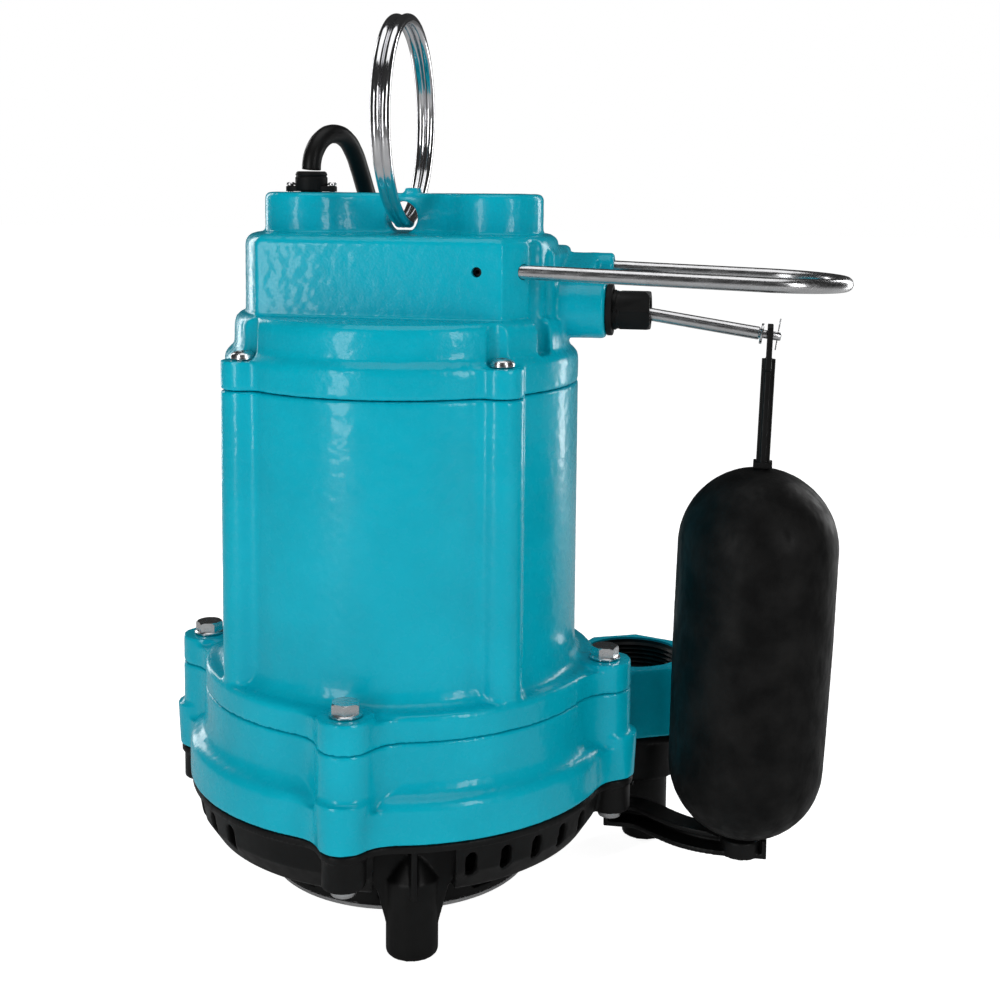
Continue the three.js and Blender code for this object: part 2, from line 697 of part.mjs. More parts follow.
addPiece('lifting_ring', solid(sweptGeometry(new SplitRingCurve(), RING.wire, 44, 6)), BRIGHT_STEEL);

// Supply cord ----------------------------------------------------------------------------------

const GRIP_TOP_Z = 329.5;

function makeGrip() {
  const [x, y] = GRIP;
  const shape = new THREE.Shape();
  shape.absarc(x + 7.4, y, 4.6, -Math.PI / 2, Math.PI / 2, false);
  shape.absarc(x - 7.4, y, 4.6, Math.PI / 2, 1.5 * Math.PI, false);
  const seat = PLATFORM_TOP_Z + GAP;
  const grip = join(
    prism(shape, seat, seat + 2.6, 0, 4),
    post(7.4, seat, GRIP_TOP_Z - 1, x, y, BOSS_SIDES),
    post(7.4, GRIP_TOP_Z - 1, GRIP_TOP_Z, x, y, BOSS_SIDES, 6.2),
    post(4.8, 306, seat + 1, x, y, SMALL_SIDES),
  );
  const holes = [-1, 1].map((side) => post(1.7, seat - 1, seat + 4, x + side * SCREW_SPREAD, y, HOLE_SIDES));
  return cut(grip, ...holes);
}

addPiece('cord_grip', makeGrip(), BLACK_RUBBER);
[-1, 1].forEach((side, i) => {
  const x = GRIP[0] + side * SCREW_SPREAD;
  const seat = PLATFORM_TOP_Z + 2.6 + 2 * GAP;
  const screw = join(
    post(2.1, seat, seat + 1.3, x, GRIP[1], SMALL_SIDES, 1.6),
    post(1.3, seat - 9, seat + 0.5, x, GRIP[1], HOLE_SIDES),
  );
  addPiece(`grip_screw_${i + 1}`, screw, STEEL);
});

// The cord rises from the grip, bends over behind the cover, hangs down the back and runs to its coil.
const CORD_ROUTE = [
  [-43.4, 0, 330.3], [-43.3, 0.3, 333.5], [-42.6, 2.4, 338.8], [-40.3, 8.1, 344.8], [-37.2, 16.1, 347.1],
  [-34, 24.2, 344.8], [-31.8, 30.1, 338.8], [-30.4, 35.2, 331], [-29.1, 40.5, 321.8],
  [-27.8, 47.5, 311.5], [-26.5, 56.5, 299.5], [-25, 67, 285], [-23.5, 78, 267],
  [-22.3, 87, 246.5], [-21.5, 93.5, 222], [-21.1, 98, 195], [-21.1, 101.5, 165],
  [-21.1, 104, 135], [-21.1, 105.5, 105], [-21.1, 106.5, 78], [-21.1, 108.5, 54],
  [-21.1, 114, 34], [-21.1, 124, 18.5], [-21.1, 138, 8.8], [-21.1, 155, 5.2], [-21.1, 178, 4.8],
];

// Turns of the cord in its coil stay inside this ring, which the loose ends meet.
function coilRing(margin) {
  const { inner, outer, top } = COIL;
  const profile = ringProfile(inner - margin, outer + margin, margin ? -1 : 0.1, top + margin);
  const geometry = new THREE.LatheGeometry(
    [...profile, profile[0]].map(([radius, height]) => new THREE.Vector2(radius, height)),
    32,
  );
  geometry.rotateX(Math.PI / 2);
  geometry.translate(COIL.x, COIL.y, 0);
  return solid(geometry);
}

const cord = solid(sweptGeometry(curveThrough(CORD_ROUTE), CORD_R, 38, 8));
addPiece('cord', cut(cord, coilRing(GAP)), BLACK_RUBBER);
addPiece('cord_coil', coilRing(0), BLACK_RUBBER);

// Plug: it lies on the coil, along a chord of it.
const PLUG = { angle: 255, heading: 0, z: 38.2, relief: 12, body: 34 };

function plugPlace(geometry) {
  const [x, y] = polar(50, PLUG.angle);
  geometry.rotateZ(radians(PLUG.heading));
  geometry.translate(COIL.x + x, COIL.y + y, PLUG.z);
  return solid(geometry);
}

function plugBar(radius, start, end, y, z, sides, endRadius = radius) {
  const geometry = new THREE.CylinderGeometry(endRadius, radius, end - start, sides);
  geometry.rotateZ(-Math.PI / 2);
  geometry.translate((start + end) / 2, y, z);
  return geometry;
}

function makePlugBody() {
  const bodyEnd = PLUG.relief + PLUG.body;
  const relief = plugBar(5.4, 0, PLUG.relief + 1, 0, 0, 16, 8.5);
  const faceOutline = outline([
    [-13, -4], [-9, -10.5], [9, -10.5], [13, -4], [13, 4], [9, 10.5], [-9, 10.5], [-13, 4],
  ]);
  const body = new THREE.ExtrudeGeometry(faceOutline, { depth: PLUG.body, bevelEnabled: false });
  body.rotateX(Math.PI / 2);
  body.rotateZ(Math.PI / 2);
  body.translate(PLUG.relief, 0, 0);
  const sockets = [
    plugBar(2.7, bodyEnd - 8, bodyEnd + 1, 0, -5.5, 10),
    blockGeometry([bodyEnd - 8, bodyEnd + 1], [-7.5, -5.2], [0.9, 7.9]),
    blockGeometry([bodyEnd - 8, bodyEnd + 1], [5.2, 7.5], [0.9, 7.9]),
  ];
  return cut(join(plugPlace(relief), plugPlace(body)), ...sockets.map(plugPlace));
}

function plugBlade(side) {
  const end = PLUG.relief + PLUG.body;
  const ys = [side * 6.35 - 0.8, side * 6.35 + 0.8];
  return plugPlace(blockGeometry([end - 7.5, end + 16], ys, [1.3, 7.5]));
}

addPiece('plug_body', makePlugBody(), BLACK_RUBBER);
addPiece('plug_blade_1', plugBlade(-1), BRASS);
addPiece('plug_blade_2', plugBlade(1), BRASS);
const pinEnd = PLUG.relief + PLUG.body;
addPiece('plug_ground_pin', plugPlace(plugBar(2.4, pinEnd - 7.5, pinEnd + 18, 0, -5.5, 10)), BRASS);

// The cord's last stretch climbs from the top of the coil to the plug.
function tailPoints() {
  const points = [];
  for (let i = 0; i <= 6; i += 1) {
    const t = i / 6;
    const [x, y] = polar(50, PLUG.angle - 96 + 66 * t);
    points.push([COIL.x + x, COIL.y + y, 22.2 + (PLUG.z - 22.2) * t * t * (3 - 2 * t)]);
  }
  const [x, y] = polar(50, PLUG.angle);
  for (const back of [8, GAP]) {
    const [dx, dy] = polar(back, PLUG.heading);
    points.push([COIL.x + x - dx, COIL.y + y - dy, PLUG.z]);
  }
  return points;
}

const tail = solid(sweptGeometry(curveThrough(tailPoints()), CORD_R, 10, 8));
addPiece('cord_tail', cut(tail, coilRing(GAP)), BLACK_RUBBER);

// Float guard ----------------------------------------------------------------------------------

function guardPoints() {
  const z = GUARD_START[1];
  const points = [];
  for (let i = 0; i <= 4; i += 1) {
    points.push([38 + (GUARD_ARC_X - 38) * (i / 4), -GUARD_HALF_WIDTH, z]);
  }
  for (let angle = -75; angle <= 75; angle += 15) {
    const [x, y] = polar(GUARD_HALF_WIDTH, angle);
    points.push([GUARD_ARC_X + x, y, z]);
  }
  for (let i = 0; i <= 3; i += 1) {
    points.push([GUARD_ARC_X + (56 - GUARD_ARC_X) * (i / 3), GUARD_HALF_WIDTH, z]);
  }
  return points;
}

const guard = sweptGeometry(curveThrough(guardPoints()), GUARD_R, 36, 8);
turnAboutY(guard, [GUARD_START[0], 0, GUARD_START[1]], GUARD_SLOPE);
addPiece('float_guard', solid(guard), STEEL);
addPiece('guard_set_screw', barY(SET_SCREW.radius, -43, -38.6, SET_SCREW.x, SET_SCREW.z, 8), STEEL);

// Float switch ---------------------------------------------------------------------------------

const GLAND = { seat: 96.9, end: 113.3, flat: 8.3, throat: 6.3, barrelStart: 84 };

function makeGland() {
  const hex = prismX(
    regularOutline(6, GLAND.flat / Math.cos(Math.PI / 6), 0, SWITCH_BOSS.z, 30),
    GLAND.seat,
    GLAND.end,
  );
  const barrel = barX(9, GLAND.barrelStart, GLAND.seat + 1, 0, SWITCH_BOSS.z, BOSS_SIDES);
  const throat = barX(GLAND.throat, 90, GLAND.end + 1, 0, SWITCH_BOSS.z, BOSS_SIDES);
  const mouth = barX(7.6, GLAND.barrelStart - 1, 93, 0, SWITCH_BOSS.z, BOSS_SIDES);
  return cut(join(hex, barrel), throat, mouth);
}

function makeGlandWasher() {
  const start = SWITCH_BOSS.face + GAP;
  const disc = barX(11.6, start, GLAND.seat - GAP, 0, SWITCH_BOSS.z, 20);
  return cut(disc, barX(9.4, start - 1, GLAND.seat + 1, 0, SWITCH_BOSS.z, BOSS_SIDES));
}

addPiece('gland_washer', makeGlandWasher(), BLACK_RUBBER);
addPiece('switch_gland', makeGland(), BLACK_PLASTIC);

// Places a piece drawn along X from the lever's pivot on the sloping lever.
function onLever(geometry) {
  geometry.rotateY(radians(LEVER_SLOPE));
  geometry.translate(...LEVER_PIVOT);
  return solid(geometry);
}

function leverBar(radius, start, end, sides = SMALL_SIDES) {
  const geometry = new THREE.CylinderGeometry(radius, radius, end - start, sides);
  geometry.rotateZ(Math.PI / 2);
  geometry.translate((start + end) / 2, 0, 0);
  return onLever(geometry);
}

const LEVER = { inner: -42, shoulder: 62, end: 71.4, tipR: 1.9, cotter: 69.9 };

function makeLever() {
  const cotterHole = new THREE.CylinderGeometry(0.95, 0.95, 8, 6);
  cotterHole.rotateX(Math.PI / 2);
  cotterHole.translate(LEVER.cotter, 0, 0);
  return cut(
    join(
      leverBar(LEVER_R, LEVER.inner, LEVER.shoulder),
      leverBar(LEVER.tipR, LEVER.shoulder - 1, LEVER.end, HOLE_SIDES),
    ),
    onLever(cotterHole),
  );
}

addPiece('switch_lever', makeLever(), STEEL);

// Rubber ball on the lever, turning in the gland's throat.
function makeBall() {
  const ball = onLever(new THREE.SphereGeometry(GLAND.throat - 2 * GAP, 14, 8));
  return cut(ball, leverBar(LEVER_R + GAP, -10, 10));
}

addPiece('lever_ball', makeBall(), BLACK_RUBBER);
addPiece(
  'lever_washer',
  cut(leverBar(4.6, LEVER.shoulder + GAP, LEVER.shoulder + 1.5, 14), leverBar(2.3, 60, 66, HOLE_SIDES)),
  STEEL,
);

// Cotter pin: a split wire through the lever's tip, with a round eye above it.
function makeCotter() {
  const leg = new THREE.CylinderGeometry(0.65, 0.65, 11, 6);
  leg.rotateX(Math.PI / 2);
  leg.translate(LEVER.cotter, 0, -0.6);
  const eye = new THREE.TorusGeometry(1.5, 0.6, 6, 10);
  eye.rotateY(Math.PI / 2);
  eye.translate(LEVER.cotter, 0, 6);
  return join(onLever(leg), onLever(eye));
}

addPiece('cotter_pin', makeCotter(), BRIGHT_STEEL);

// Pieces that hang from the eye lean a little towards the pump.
function onFloat(geometry) {
  return solid(turnAboutY(geometry, EYE, FLOAT_LEAN));
}

function floatPost(radius, low, high, sides) {
  const geometry = new THREE.CylinderGeometry(radius, radius, high - low, sides);
  geometry.rotateX(Math.PI / 2);
  geometry.translate(EYE[0], 0, (low + high) / 2);
  return onFloat(geometry);
}

function makeFloatRod() {
  const x = EYE[0];
  const eyeTop = EYE[2] + 5;
  const eyeHole = new THREE.CylinderGeometry(3, 3, 12, 10);
  eyeHole.rotateZ(Math.PI / 2);
  eyeHole.translate(x, 0, EYE[2]);
  return cut(
    join(
      onFloat(blockGeometry([x - 1.3, x + 1.3], [-4.6, 4.6], [244, eyeTop])),
      onFloat(blockGeometry([x - 3, x + 3], [-1.2, 1.2], [203, 249])),
      onFloat(blockGeometry([x - 1.2, x + 1.2], [-3.4, 3.4], [203, 245])),
      onFloat(blockGeometry([x - 4.2, x + 4.2], [-4.2, 4.2], [200.4, 203.2])),
      floatPost(2.9, 186, 201, 8),
    ),
    onFloat(eyeHole),
  );
}

function makeFloat() {
  const [low, high] = FLOAT_Z;
  const points = [[0, low]];
  for (let angle = -72; angle <= 0; angle += 18) {
    const [across, up] = polar(FLOAT_R - 1, angle);
    points.push([across, low + FLOAT_R - 1 + up]);
  }
  for (let angle = 0; angle <= 72; angle += 18) {
    const [across, up] = polar(FLOAT_R, angle);
    points.push([across, high - FLOAT_R + up]);
  }
  points.push([0, high]);
  const geometry = new THREE.LatheGeometry(points.map(([r, z]) => new THREE.Vector2(r, z)), 24);
  geometry.rotateX(Math.PI / 2);
  geometry.translate(EYE[0], 0, 0);
  return cut(onFloat(geometry), floatPost(3.5, 184, 204, 8));
}

addPiece('float_rod', makeFloatRod(), BLACK_PLASTIC);
addPiece('float', makeFloat(), BLACK_RUBBER);

// Snap switch inside the cover.
const PLUNGER = { x: 60.5, radius: 1.8, low: 247, high: 271.8 };
addPiece(
  'snap_switch',
  cut(
    block([48, 63], [-11, 11], [228, 255]),
    post(PLUNGER.radius + GAP, 232, 256, PLUNGER.x, 0, HOLE_SIDES),
  ),
  GREY_PLASTIC,
);
addPiece(
  'switch_plunger',
  post(PLUNGER.radius, PLUNGER.low, PLUNGER.high, PLUNGER.x, 0, HOLE_SIDES),
  CERAMIC,
);
addPiece(
  'switch_bracket',
  join(block([45.7, 47.7], [-11, 11], [228, 294.6]), block([33, 47.7], [-11, 11], [292.9, 294.6])),
  STEEL,
);
addPiece('run_capacitor', barX(14, -34, 26, 6, 270, BOSS_SIDES), GREY_PLASTIC);

// Motor ----------------------------------------------------------------------------------------

const STATOR = { low: 140, high: 190, bore: 34.3, slots: 18 };

function makeStator() {
  const core = turned(ringProfile(STATOR.bore, HOUSING_BORE_R - GAP, STATOR.low, STATOR.high), 36);
  const slots = [];
  for (let i = 0; i < STATOR.slots; i += 1) {
    const angle = (360 * i) / STATOR.slots;
    slots.push(radialBlock(angle, [30, 52], [-2.6, 2.6], [STATOR.low - 1, STATOR.high + 1]));
  }
  return cut(core, ...slots);
}

function winding(low, high) {
  return turned([
    [38, low], [58, low], [61, low + 4], [61, high - 4], [58, high], [38, high],
  ], 20);
}

addPiece('stator_core', makeStator(), LAMINATION);
addPiece('upper_winding', winding(STATOR.high + GAP, 206), COPPER);
addPiece('lower_winding', winding(126, STATOR.low - GAP), COPPER);

const SHAFT_R = 8;
const SHAFT_BORE = SHAFT_R + GAP;
addPiece('rotor', turned(ringProfile(SHAFT_BORE, STATOR.bore - 0.8, 137, 193), 24), LAMINATION);
addPiece(
  'shaft',
  turned([
    [0, 60], [4, 60], [4, 66], [SHAFT_R - 1.5, 66.3], [SHAFT_R - 1.5, 78], [SHAFT_R, 79],
    [SHAFT_R, 224], [0, 224],
  ], SMALL_SIDES),
  BRIGHT_STEEL,
);
addPiece(
  'lower_bearing',
  turned(ringProfile(SHAFT_BORE, BEARING_SEAT.radius - GAP, 112.3, 124.3), 20),
  BRIGHT_STEEL,
);
addPiece('upper_bearing', turned(ringProfile(SHAFT_BORE, 17.5, 212.4, 222.4), 20), BRIGHT_STEEL);

// Upper bearing bracket: a spoked plate across the housing above the winding.
function makeBearingBracket() {
  const plate = turned(ringProfile(17.8, HOUSING_BORE_R - GAP, 208, 212), 32);
  const hub = turned(ringProfile(17.8, 22, 208, 223), 20);
  const lip = turned([[12, 208], [22, 208], [22, 212], [12, 212]], 20);
  const windows = [45, 135, 225, 315].map((angle) => (
    radialBlock(angle, [28, 66], [-15, 15], [200, 220])
  ));
  return join(cut(plate, ...windows), hub, lip);
}

addPiece('bearing_bracket', makeBearingBracket(), LAMINATION);
addPiece('shaft_seal_seat', turned(ringProfile(SHAFT_BORE, 13.7, 90, 98), BOSS_SIDES), CERAMIC);
addPiece('shaft_seal_head', turned(ringProfile(SHAFT_BORE, 12.5, 80, 89.6), BOSS_SIDES), BLACK_RUBBER);

// Impeller: a disc with a hub and backward-curved vanes below it.
function makeImpeller() {
  const disc = turned([[SHAFT_R - 1.2, 74], [58, 74], [58, 77], [12, 77.3], [SHAFT_R - 1.2, 77.7]], 28);
  const hub = turned(ringProfile(SHAFT_R - 1.2, 12, 66.6, 75), BOSS_SIDES);
  const vanes = [];
  for (let i = 0; i < 6; i += 1) {
    const points = [];
    for (let j = 0; j <= 4; j += 1) {
      points.push(polar(10 + 12 * j, 60 * i + 13 * j));
    }
    for (let j = 4; j >= 0; j -= 1) {
      points.push(polar(10 + 12 * j, 60 * i + 13 * j + 150 / (10 + 12 * j)));
    }
    vanes.push(prism(outline(points), 60, 75));
  }
  const ends = post(SHAFT_R - 1.2, 50, 90, 0, 0, BOSS_SIDES);
  return cut(join(disc, hub, ...vanes), ends);
}

addPiece('impeller', makeImpeller(), GREY_PLASTIC);
addPiece(
  'impeller_nut',
  cut(prism(regularOutline(6, 6.4), 60.5, 65.8), post(4.6, 59, 67, 0, 0, HOLE_SIDES)),
  STEEL,
);

export default pump;
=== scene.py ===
"""Looks of a submersible sump pump with a vertical float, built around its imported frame."""

import json
import math

import bmesh
import bpy
from mathutils import Matrix, Vector


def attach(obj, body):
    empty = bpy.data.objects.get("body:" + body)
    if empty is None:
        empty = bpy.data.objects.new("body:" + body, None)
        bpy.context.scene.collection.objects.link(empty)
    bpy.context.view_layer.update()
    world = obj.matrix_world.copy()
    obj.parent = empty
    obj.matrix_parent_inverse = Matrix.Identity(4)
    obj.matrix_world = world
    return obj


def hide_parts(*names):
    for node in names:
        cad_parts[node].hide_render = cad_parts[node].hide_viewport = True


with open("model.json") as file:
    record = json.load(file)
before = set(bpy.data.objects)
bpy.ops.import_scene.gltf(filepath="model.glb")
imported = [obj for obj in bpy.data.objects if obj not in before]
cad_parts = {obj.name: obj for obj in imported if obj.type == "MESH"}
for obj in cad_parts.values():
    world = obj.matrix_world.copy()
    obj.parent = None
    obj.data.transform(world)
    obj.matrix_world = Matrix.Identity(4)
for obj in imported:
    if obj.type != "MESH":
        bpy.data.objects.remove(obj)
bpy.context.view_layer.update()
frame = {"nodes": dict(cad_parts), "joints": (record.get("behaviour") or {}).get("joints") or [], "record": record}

# Shapes below are drawn in millimetres about the pump's axis, with Z up from the floor.
MM = 0.001
GAP = 0.3
JOINTS = {joint["name"]: joint for joint in frame["joints"]}
AXIS_X = JOINTS["rotor_spin"]["pos_m"][0]


def placed(point):
    """A point about the pump's axis, in millimetres, as a point of the frame in metres."""
    x, y, z = point
    return Vector((x * MM + AXIS_X, y * MM, z * MM))


def polar(radius, angle):
    return radius * math.cos(math.radians(angle)), radius * math.sin(math.radians(angle))


# Camera -----------------------------------------------------------------------------------------

CAMERA_AT = (164.3, -661.6, 325)
CAMERA_YAW = 10.2
CAMERA_PITCH = 5.65
CAMERA_ROLL = 0.48


def make_camera():
    data = bpy.data.cameras.new("camera")
    data.lens = 53.6
    data.sensor_width = 36
    data.shift_y = -0.17
    camera = bpy.data.objects.new("camera", data)
    bpy.context.scene.collection.objects.link(camera)
    turn = Matrix.Rotation(math.radians(CAMERA_YAW), 4, "Z")
    tip = Matrix.Rotation(math.radians(90 - CAMERA_PITCH), 4, "X")
    roll = Matrix.Rotation(math.radians(CAMERA_ROLL), 4, "Z")
    camera.matrix_world = Matrix.Translation(placed(CAMERA_AT)) @ turn @ tip @ roll
    bpy.context.scene.camera = camera
    bpy.context.scene.view_settings.view_transform = "Standard"


make_camera()

# Materials --------------------------------------------------------------------------------------


class Nodes:
    """A material's node tree, written as short calls."""

    def __init__(self, name):
        self.material = bpy.data.materials.new(name)
        self.material.use_nodes = True
        self.tree = self.material.node_tree
        self.shader = self.tree.nodes["Principled BSDF"]
        self.place = self.tree.nodes.new("ShaderNodeTexCoord").outputs["Object"]

    def put(self, socket, value):
        if isinstance(value, bpy.types.NodeSocket):
            self.tree.links.new(value, socket)
        else:
            socket.default_value = value

    def surface(self, **values):
        for key, value in values.items():
            self.put(self.shader.inputs[key.replace("_", " ")], value)

    def noise(self, size_mm, detail=3.0, stretch=None):
        """Noise whose features are about size_mm across."""
        node = self.tree.nodes.new("ShaderNodeTexNoise")
        node.inputs["Scale"].default_value = 1 / (size_mm * MM)
        node.inputs["Detail"].default_value = detail
        place = self.place
        if stretch:
            mapping = self.tree.nodes.new("ShaderNodeMapping")
            mapping.inputs["Scale"].default_value = stretch
            self.put(mapping.inputs["Vector"], place)
            place = mapping.outputs["Vector"]
        self.put(node.inputs["Vector"], place)
        return node.outputs["Fac"]

    def ramp(self, value, stops):
        """Maps a value through (position, colour or number) stops."""
        node = self.tree.nodes.new("ShaderNodeValToRGB")
        while len(node.color_ramp.elements) < len(stops):
            node.color_ramp.elements.new(0.5)
        for element, (position, colour) in zip(node.color_ramp.elements, stops):
            element.position = position
            rgb = colour if isinstance(colour, tuple) else (colour,) * 3
            element.color = (*rgb, 1)
        self.put(node.inputs["Fac"], value)
        return node.outputs["Color"]

    def bump(self, value, strength, distance_mm, below=None):
        node = self.tree.nodes.new("ShaderNodeBump")
        node.inputs["Strength"].default_value = strength
        node.inputs["Distance"].default_value = distance_mm * MM
        self.put(node.inputs["Height"], value)
        if below:
            self.put(node.inputs["Normal"], below)
        return node.outputs["Normal"]


def teal_paint(name, peel_depth):
    """Glossy enamel: orange peel over the coarser lumps of the casting."""
    n = Nodes(name)
    tint = n.ramp(n.noise(30), [(0.35, (0.0, 0.39, 0.515)), (0.65, (0.0, 0.43, 0.565))])
    gloss = n.ramp(n.noise(5), [(0.3, 0.2), (0.7, 0.32)])
    lumps = n.bump(n.noise(5, 3), 0.4, 0.3)
    peel = n.bump(n.noise(1.15, 2), 0.6, peel_depth, lumps)
    n.surface(Base_Color=tint, Roughness=gloss, Normal=peel, Specular_IOR_Level=0.15)
    n.surface(Coat_Weight=0.25, Coat_Roughness=0.08)
    return n.material


def black_plastic():
    n = Nodes("black_plastic")
    tint = n.ramp(n.noise(14), [(0.3, (0.003, 0.003, 0.003)), (0.7, (0.006, 0.006, 0.006))])
    grain = n.bump(n.noise(0.6, 3), 0.25, 0.06)
    rough = n.ramp(n.noise(6), [(0.3, 0.36), (0.7, 0.5)])
    n.surface(Base_Color=tint, Roughness=rough, Normal=grain, Specular_IOR_Level=0.2)
    return n.material


def rubber(name, low, high, roughness, grain_mm):
    n = Nodes(name)
    tint = n.ramp(n.noise(9, 5), [(0.3, (low,) * 3), (0.7, (high,) * 3)])
    grain = n.bump(n.noise(grain_mm, 4), 0.3, 0.08)
    n.surface(Base_Color=tint, Roughness=roughness, Normal=grain, Specular_IOR_Level=0.2)
    return n.material


def float_rubber():
    """Moulded rubber: cloudy patches, faint upright scuffs and a soft uneven skin."""
    n = Nodes("float_rubber")
    cloud = n.noise(15, 6)
    scuff = n.noise(5, 6, stretch=(1, 1, 0.4))
    tint = n.ramp(cloud, [(0.38, (0.002, 0.002, 0.002)), (0.64, (0.008, 0.0078, 0.0076))])
    rough = n.ramp(scuff, [(0.42, 0.45), (0.62, 0.62)])
    dents = n.bump(cloud, 0.35, 0.5)
    skin = n.bump(n.noise(1.3, 5), 0.4, 0.12, dents)
    n.surface(Base_Color=tint, Roughness=rough, Normal=skin, Specular_IOR_Level=0.13)
    return n.material


def metal(name, colour, roughness, stretch=None, grain=0.1):
    n = Nodes(name)
    streaks = n.noise(0.9, 3, stretch)
    rough = n.ramp(streaks, [(0.3, roughness * 0.75), (0.7, roughness * 1.3)])
    shade = tuple(c * 0.86 for c in colour)
    tint = n.ramp(n.noise(6, 4), [(0.3, shade), (0.7, colour)])
    lines = n.bump(streaks, grain, 0.03)
    n.surface(Base_Color=tint, Metallic=1.0, Roughness=rough, Normal=lines)
    return n.material


def plain(name, colour, roughness):
    n = Nodes(name)
    shade = tuple(c * 0.85 for c in colour)
    tint = n.ramp(n.noise(7, 4), [(0.3, shade), (0.7, colour)])
    n.surface(Base_Color=tint, Roughness=roughness, Normal=n.bump(n.noise(0.7), 0.2, 0.05))
    return n.material


MATERIALS = {
    "teal_paint": teal_paint("teal_paint", 0.07),
    "black_plastic": black_plastic(),
    "black_rubber": rubber("black_rubber", 0.004, 0.008, 0.6, 0.8),
    "float_rubber": float_rubber(),
    "cord_jacket": rubber("cord_jacket", 0.004, 0.007, 0.4, 0.9),
    "brass": metal("brass", (0.75, 0.55, 0.24), 0.3),
    "steel": metal("steel", (0.68, 0.68, 0.69), 0.24, (0.12, 1, 1), 0.15),
    "bright_steel": metal("bright_steel", (0.78, 0.78, 0.8), 0.12),
    "lamination": metal("lamination", (0.3, 0.31, 0.33), 0.42, (1, 1, 8)),
    "copper": metal("copper", (0.62, 0.27, 0.12), 0.35, (1, 1, 6)),
    "ceramic": plain("ceramic", (0.8, 0.77, 0.7), 0.3),
    "grey_plastic": plain("grey_plastic", (0.08, 0.083, 0.09), 0.45),
}
FINISHES = {
    "cover": teal_paint("teal_paint_coarse", 0.2),
    # Painted shade: the set screw's steel is coloured near black to stand in for the shade of its recess in the
    # cover.
    "guard_set_screw": metal("painted_shade_steel", (0.03, 0.03, 0.03), 0.5),
}
SLOTS = {row["node"]: row["material_slot"] for row in frame["record"]["subparts"]}
BODIES = {
    node: body for body, nodes in frame["record"]["behaviour"]["bodies"].items() for node in nodes
}

for node, node_object in frame["nodes"].items():
    node_object.data.materials.clear()
    node_object.data.materials.append(MATERIALS[SLOTS[node]])

# Shapes -----------------------------------------------------------------------------------------

IDENTITY = Matrix.Identity(4)


def along_x(x=0, y=0, z=0):
    """Turns a shape drawn up Z so that it points along X from a point."""
    return Matrix.Translation((x, y, z)) @ Matrix.Rotation(math.radians(90), 4, "Y")


def turned_at(angle):
    return Matrix.Rotation(math.radians(angle), 4, "Z")


def about_y(point, angle):
    """Turns by an angle about the line along Y through a point."""
    x, z = point
    there = Matrix.Translation((x, 0, z))
    return there @ Matrix.Rotation(math.radians(angle), 4, "Y") @ there.inverted()


def solid(points, faces, at):
    """A closed mesh object from points in millimetres."""
    mesh = bpy.data.meshes.new("shape")
    mesh.from_pydata([placed(at @ Vector(p)) for p in points], [], faces)
    work = bmesh.new()
    work.from_mesh(mesh)
    bmesh.ops.recalc_face_normals(work, faces=work.faces)
    work.to_mesh(mesh)
    work.free()
    made = bpy.data.objects.new("shape", mesh)
    bpy.context.scene.collection.objects.link(made)
    return made


def loft(sections, at=IDENTITY):
    """Closed solid through outlines of equal count, each (points, height)."""
    count = len(sections[0][0])
    points = [(x, y, z) for outline, z in sections for x, y in outline]
    faces = [tuple(range(count)), tuple(range(len(points) - count, len(points)))]
    for level in range(len(sections) - 1):
        for i in range(count):
            j = (i + 1) % count
            low, high = level * count, (level + 1) * count
            faces.append((low + i, low + j, high + j, high + i))
    return solid(points, faces, at)


def circle(radius, sides, x=0, y=0, turn=0):
    steps = [polar(radius, turn + 360 * i / sides) for i in range(sides)]
    return [(x + dx, y + dy) for dx, dy in steps]


def lathe(profile, sides, at=IDENTITY):
    """Solid of revolution about Z: the profile is [(radius, height)], on the axis or a closed ring."""
    on_axis = profile[0][0] == 0
    rings = [p for p in profile if p[0] > 0]
    points = [(*polar(r, 360 * i / sides), z) for r, z in rings for i in range(sides)]
    faces = []
    spans = list(range(len(rings) - 1)) if on_axis else list(range(len(rings)))
    for k in spans:
        low, high = k * sides, (k + 1) % len(rings) * sides
        for i in range(sides):
            j = (i + 1) % sides
            faces.append((low + i, low + j, high + j, high + i))
    if on_axis:
        last = (len(rings) - 1) * sides
        faces.append(tuple(range(sides)))
        faces.append(tuple(range(last, last + sides)))
    return solid(points, faces, at)


def post(radius, low, high, x=0, y=0, sides=48, top=None):
    return loft([(circle(radius, sides, x, y), low), (circle(top or radius, sides, x, y), high)])


def ring(inner, outer, low, high):
    return lathe([(inner, low), (outer, low), (outer, high), (inner, high)], 128)


def bar_x(radius, start, end, y, z, sides=48, tilt=IDENTITY):
    ends = [(circle(radius, sides), 0), (circle(radius, sides), end - start)]
    return loft(ends, tilt @ along_x(start, y, z))


def bar_y(radius, start, end, x, z, sides=48):
    at = Matrix.Translation((x, start, z)) @ Matrix.Rotation(math.radians(-90), 4, "X")
    return loft([(circle(radius, sides), 0), (circle(radius, sides), end - start)], at)


def block(xs, ys, zs, at=IDENTITY):
    corners = [(xs[0], ys[0]), (xs[1], ys[0]), (xs[1], ys[1]), (xs[0], ys[1])]
    return loft([(corners, zs[0]), (corners, zs[1])], at)


def radial_block(angle, along, across, zs):
    return block(along, across, zs, turned_at(angle))


def inset(points, distance):
    """An outline moved inwards by a distance; its points run anticlockwise."""
    moved = []
    for i, (x, y) in enumerate(points):
        before, after = Vector(points[i - 1]), Vector(points[(i + 1) % len(points)])
        here = Vector((x, y))
        first, second = (here - before).normalized(), (after - here).normalized()
        left = Vector((-first.y - second.y, first.x + second.x)).normalized()
        share = max(0.4, left.dot(Vector((-first.y, first.x))))
        moved.append((x + left.x * distance / share, y + left.y * distance / share))
    return moved


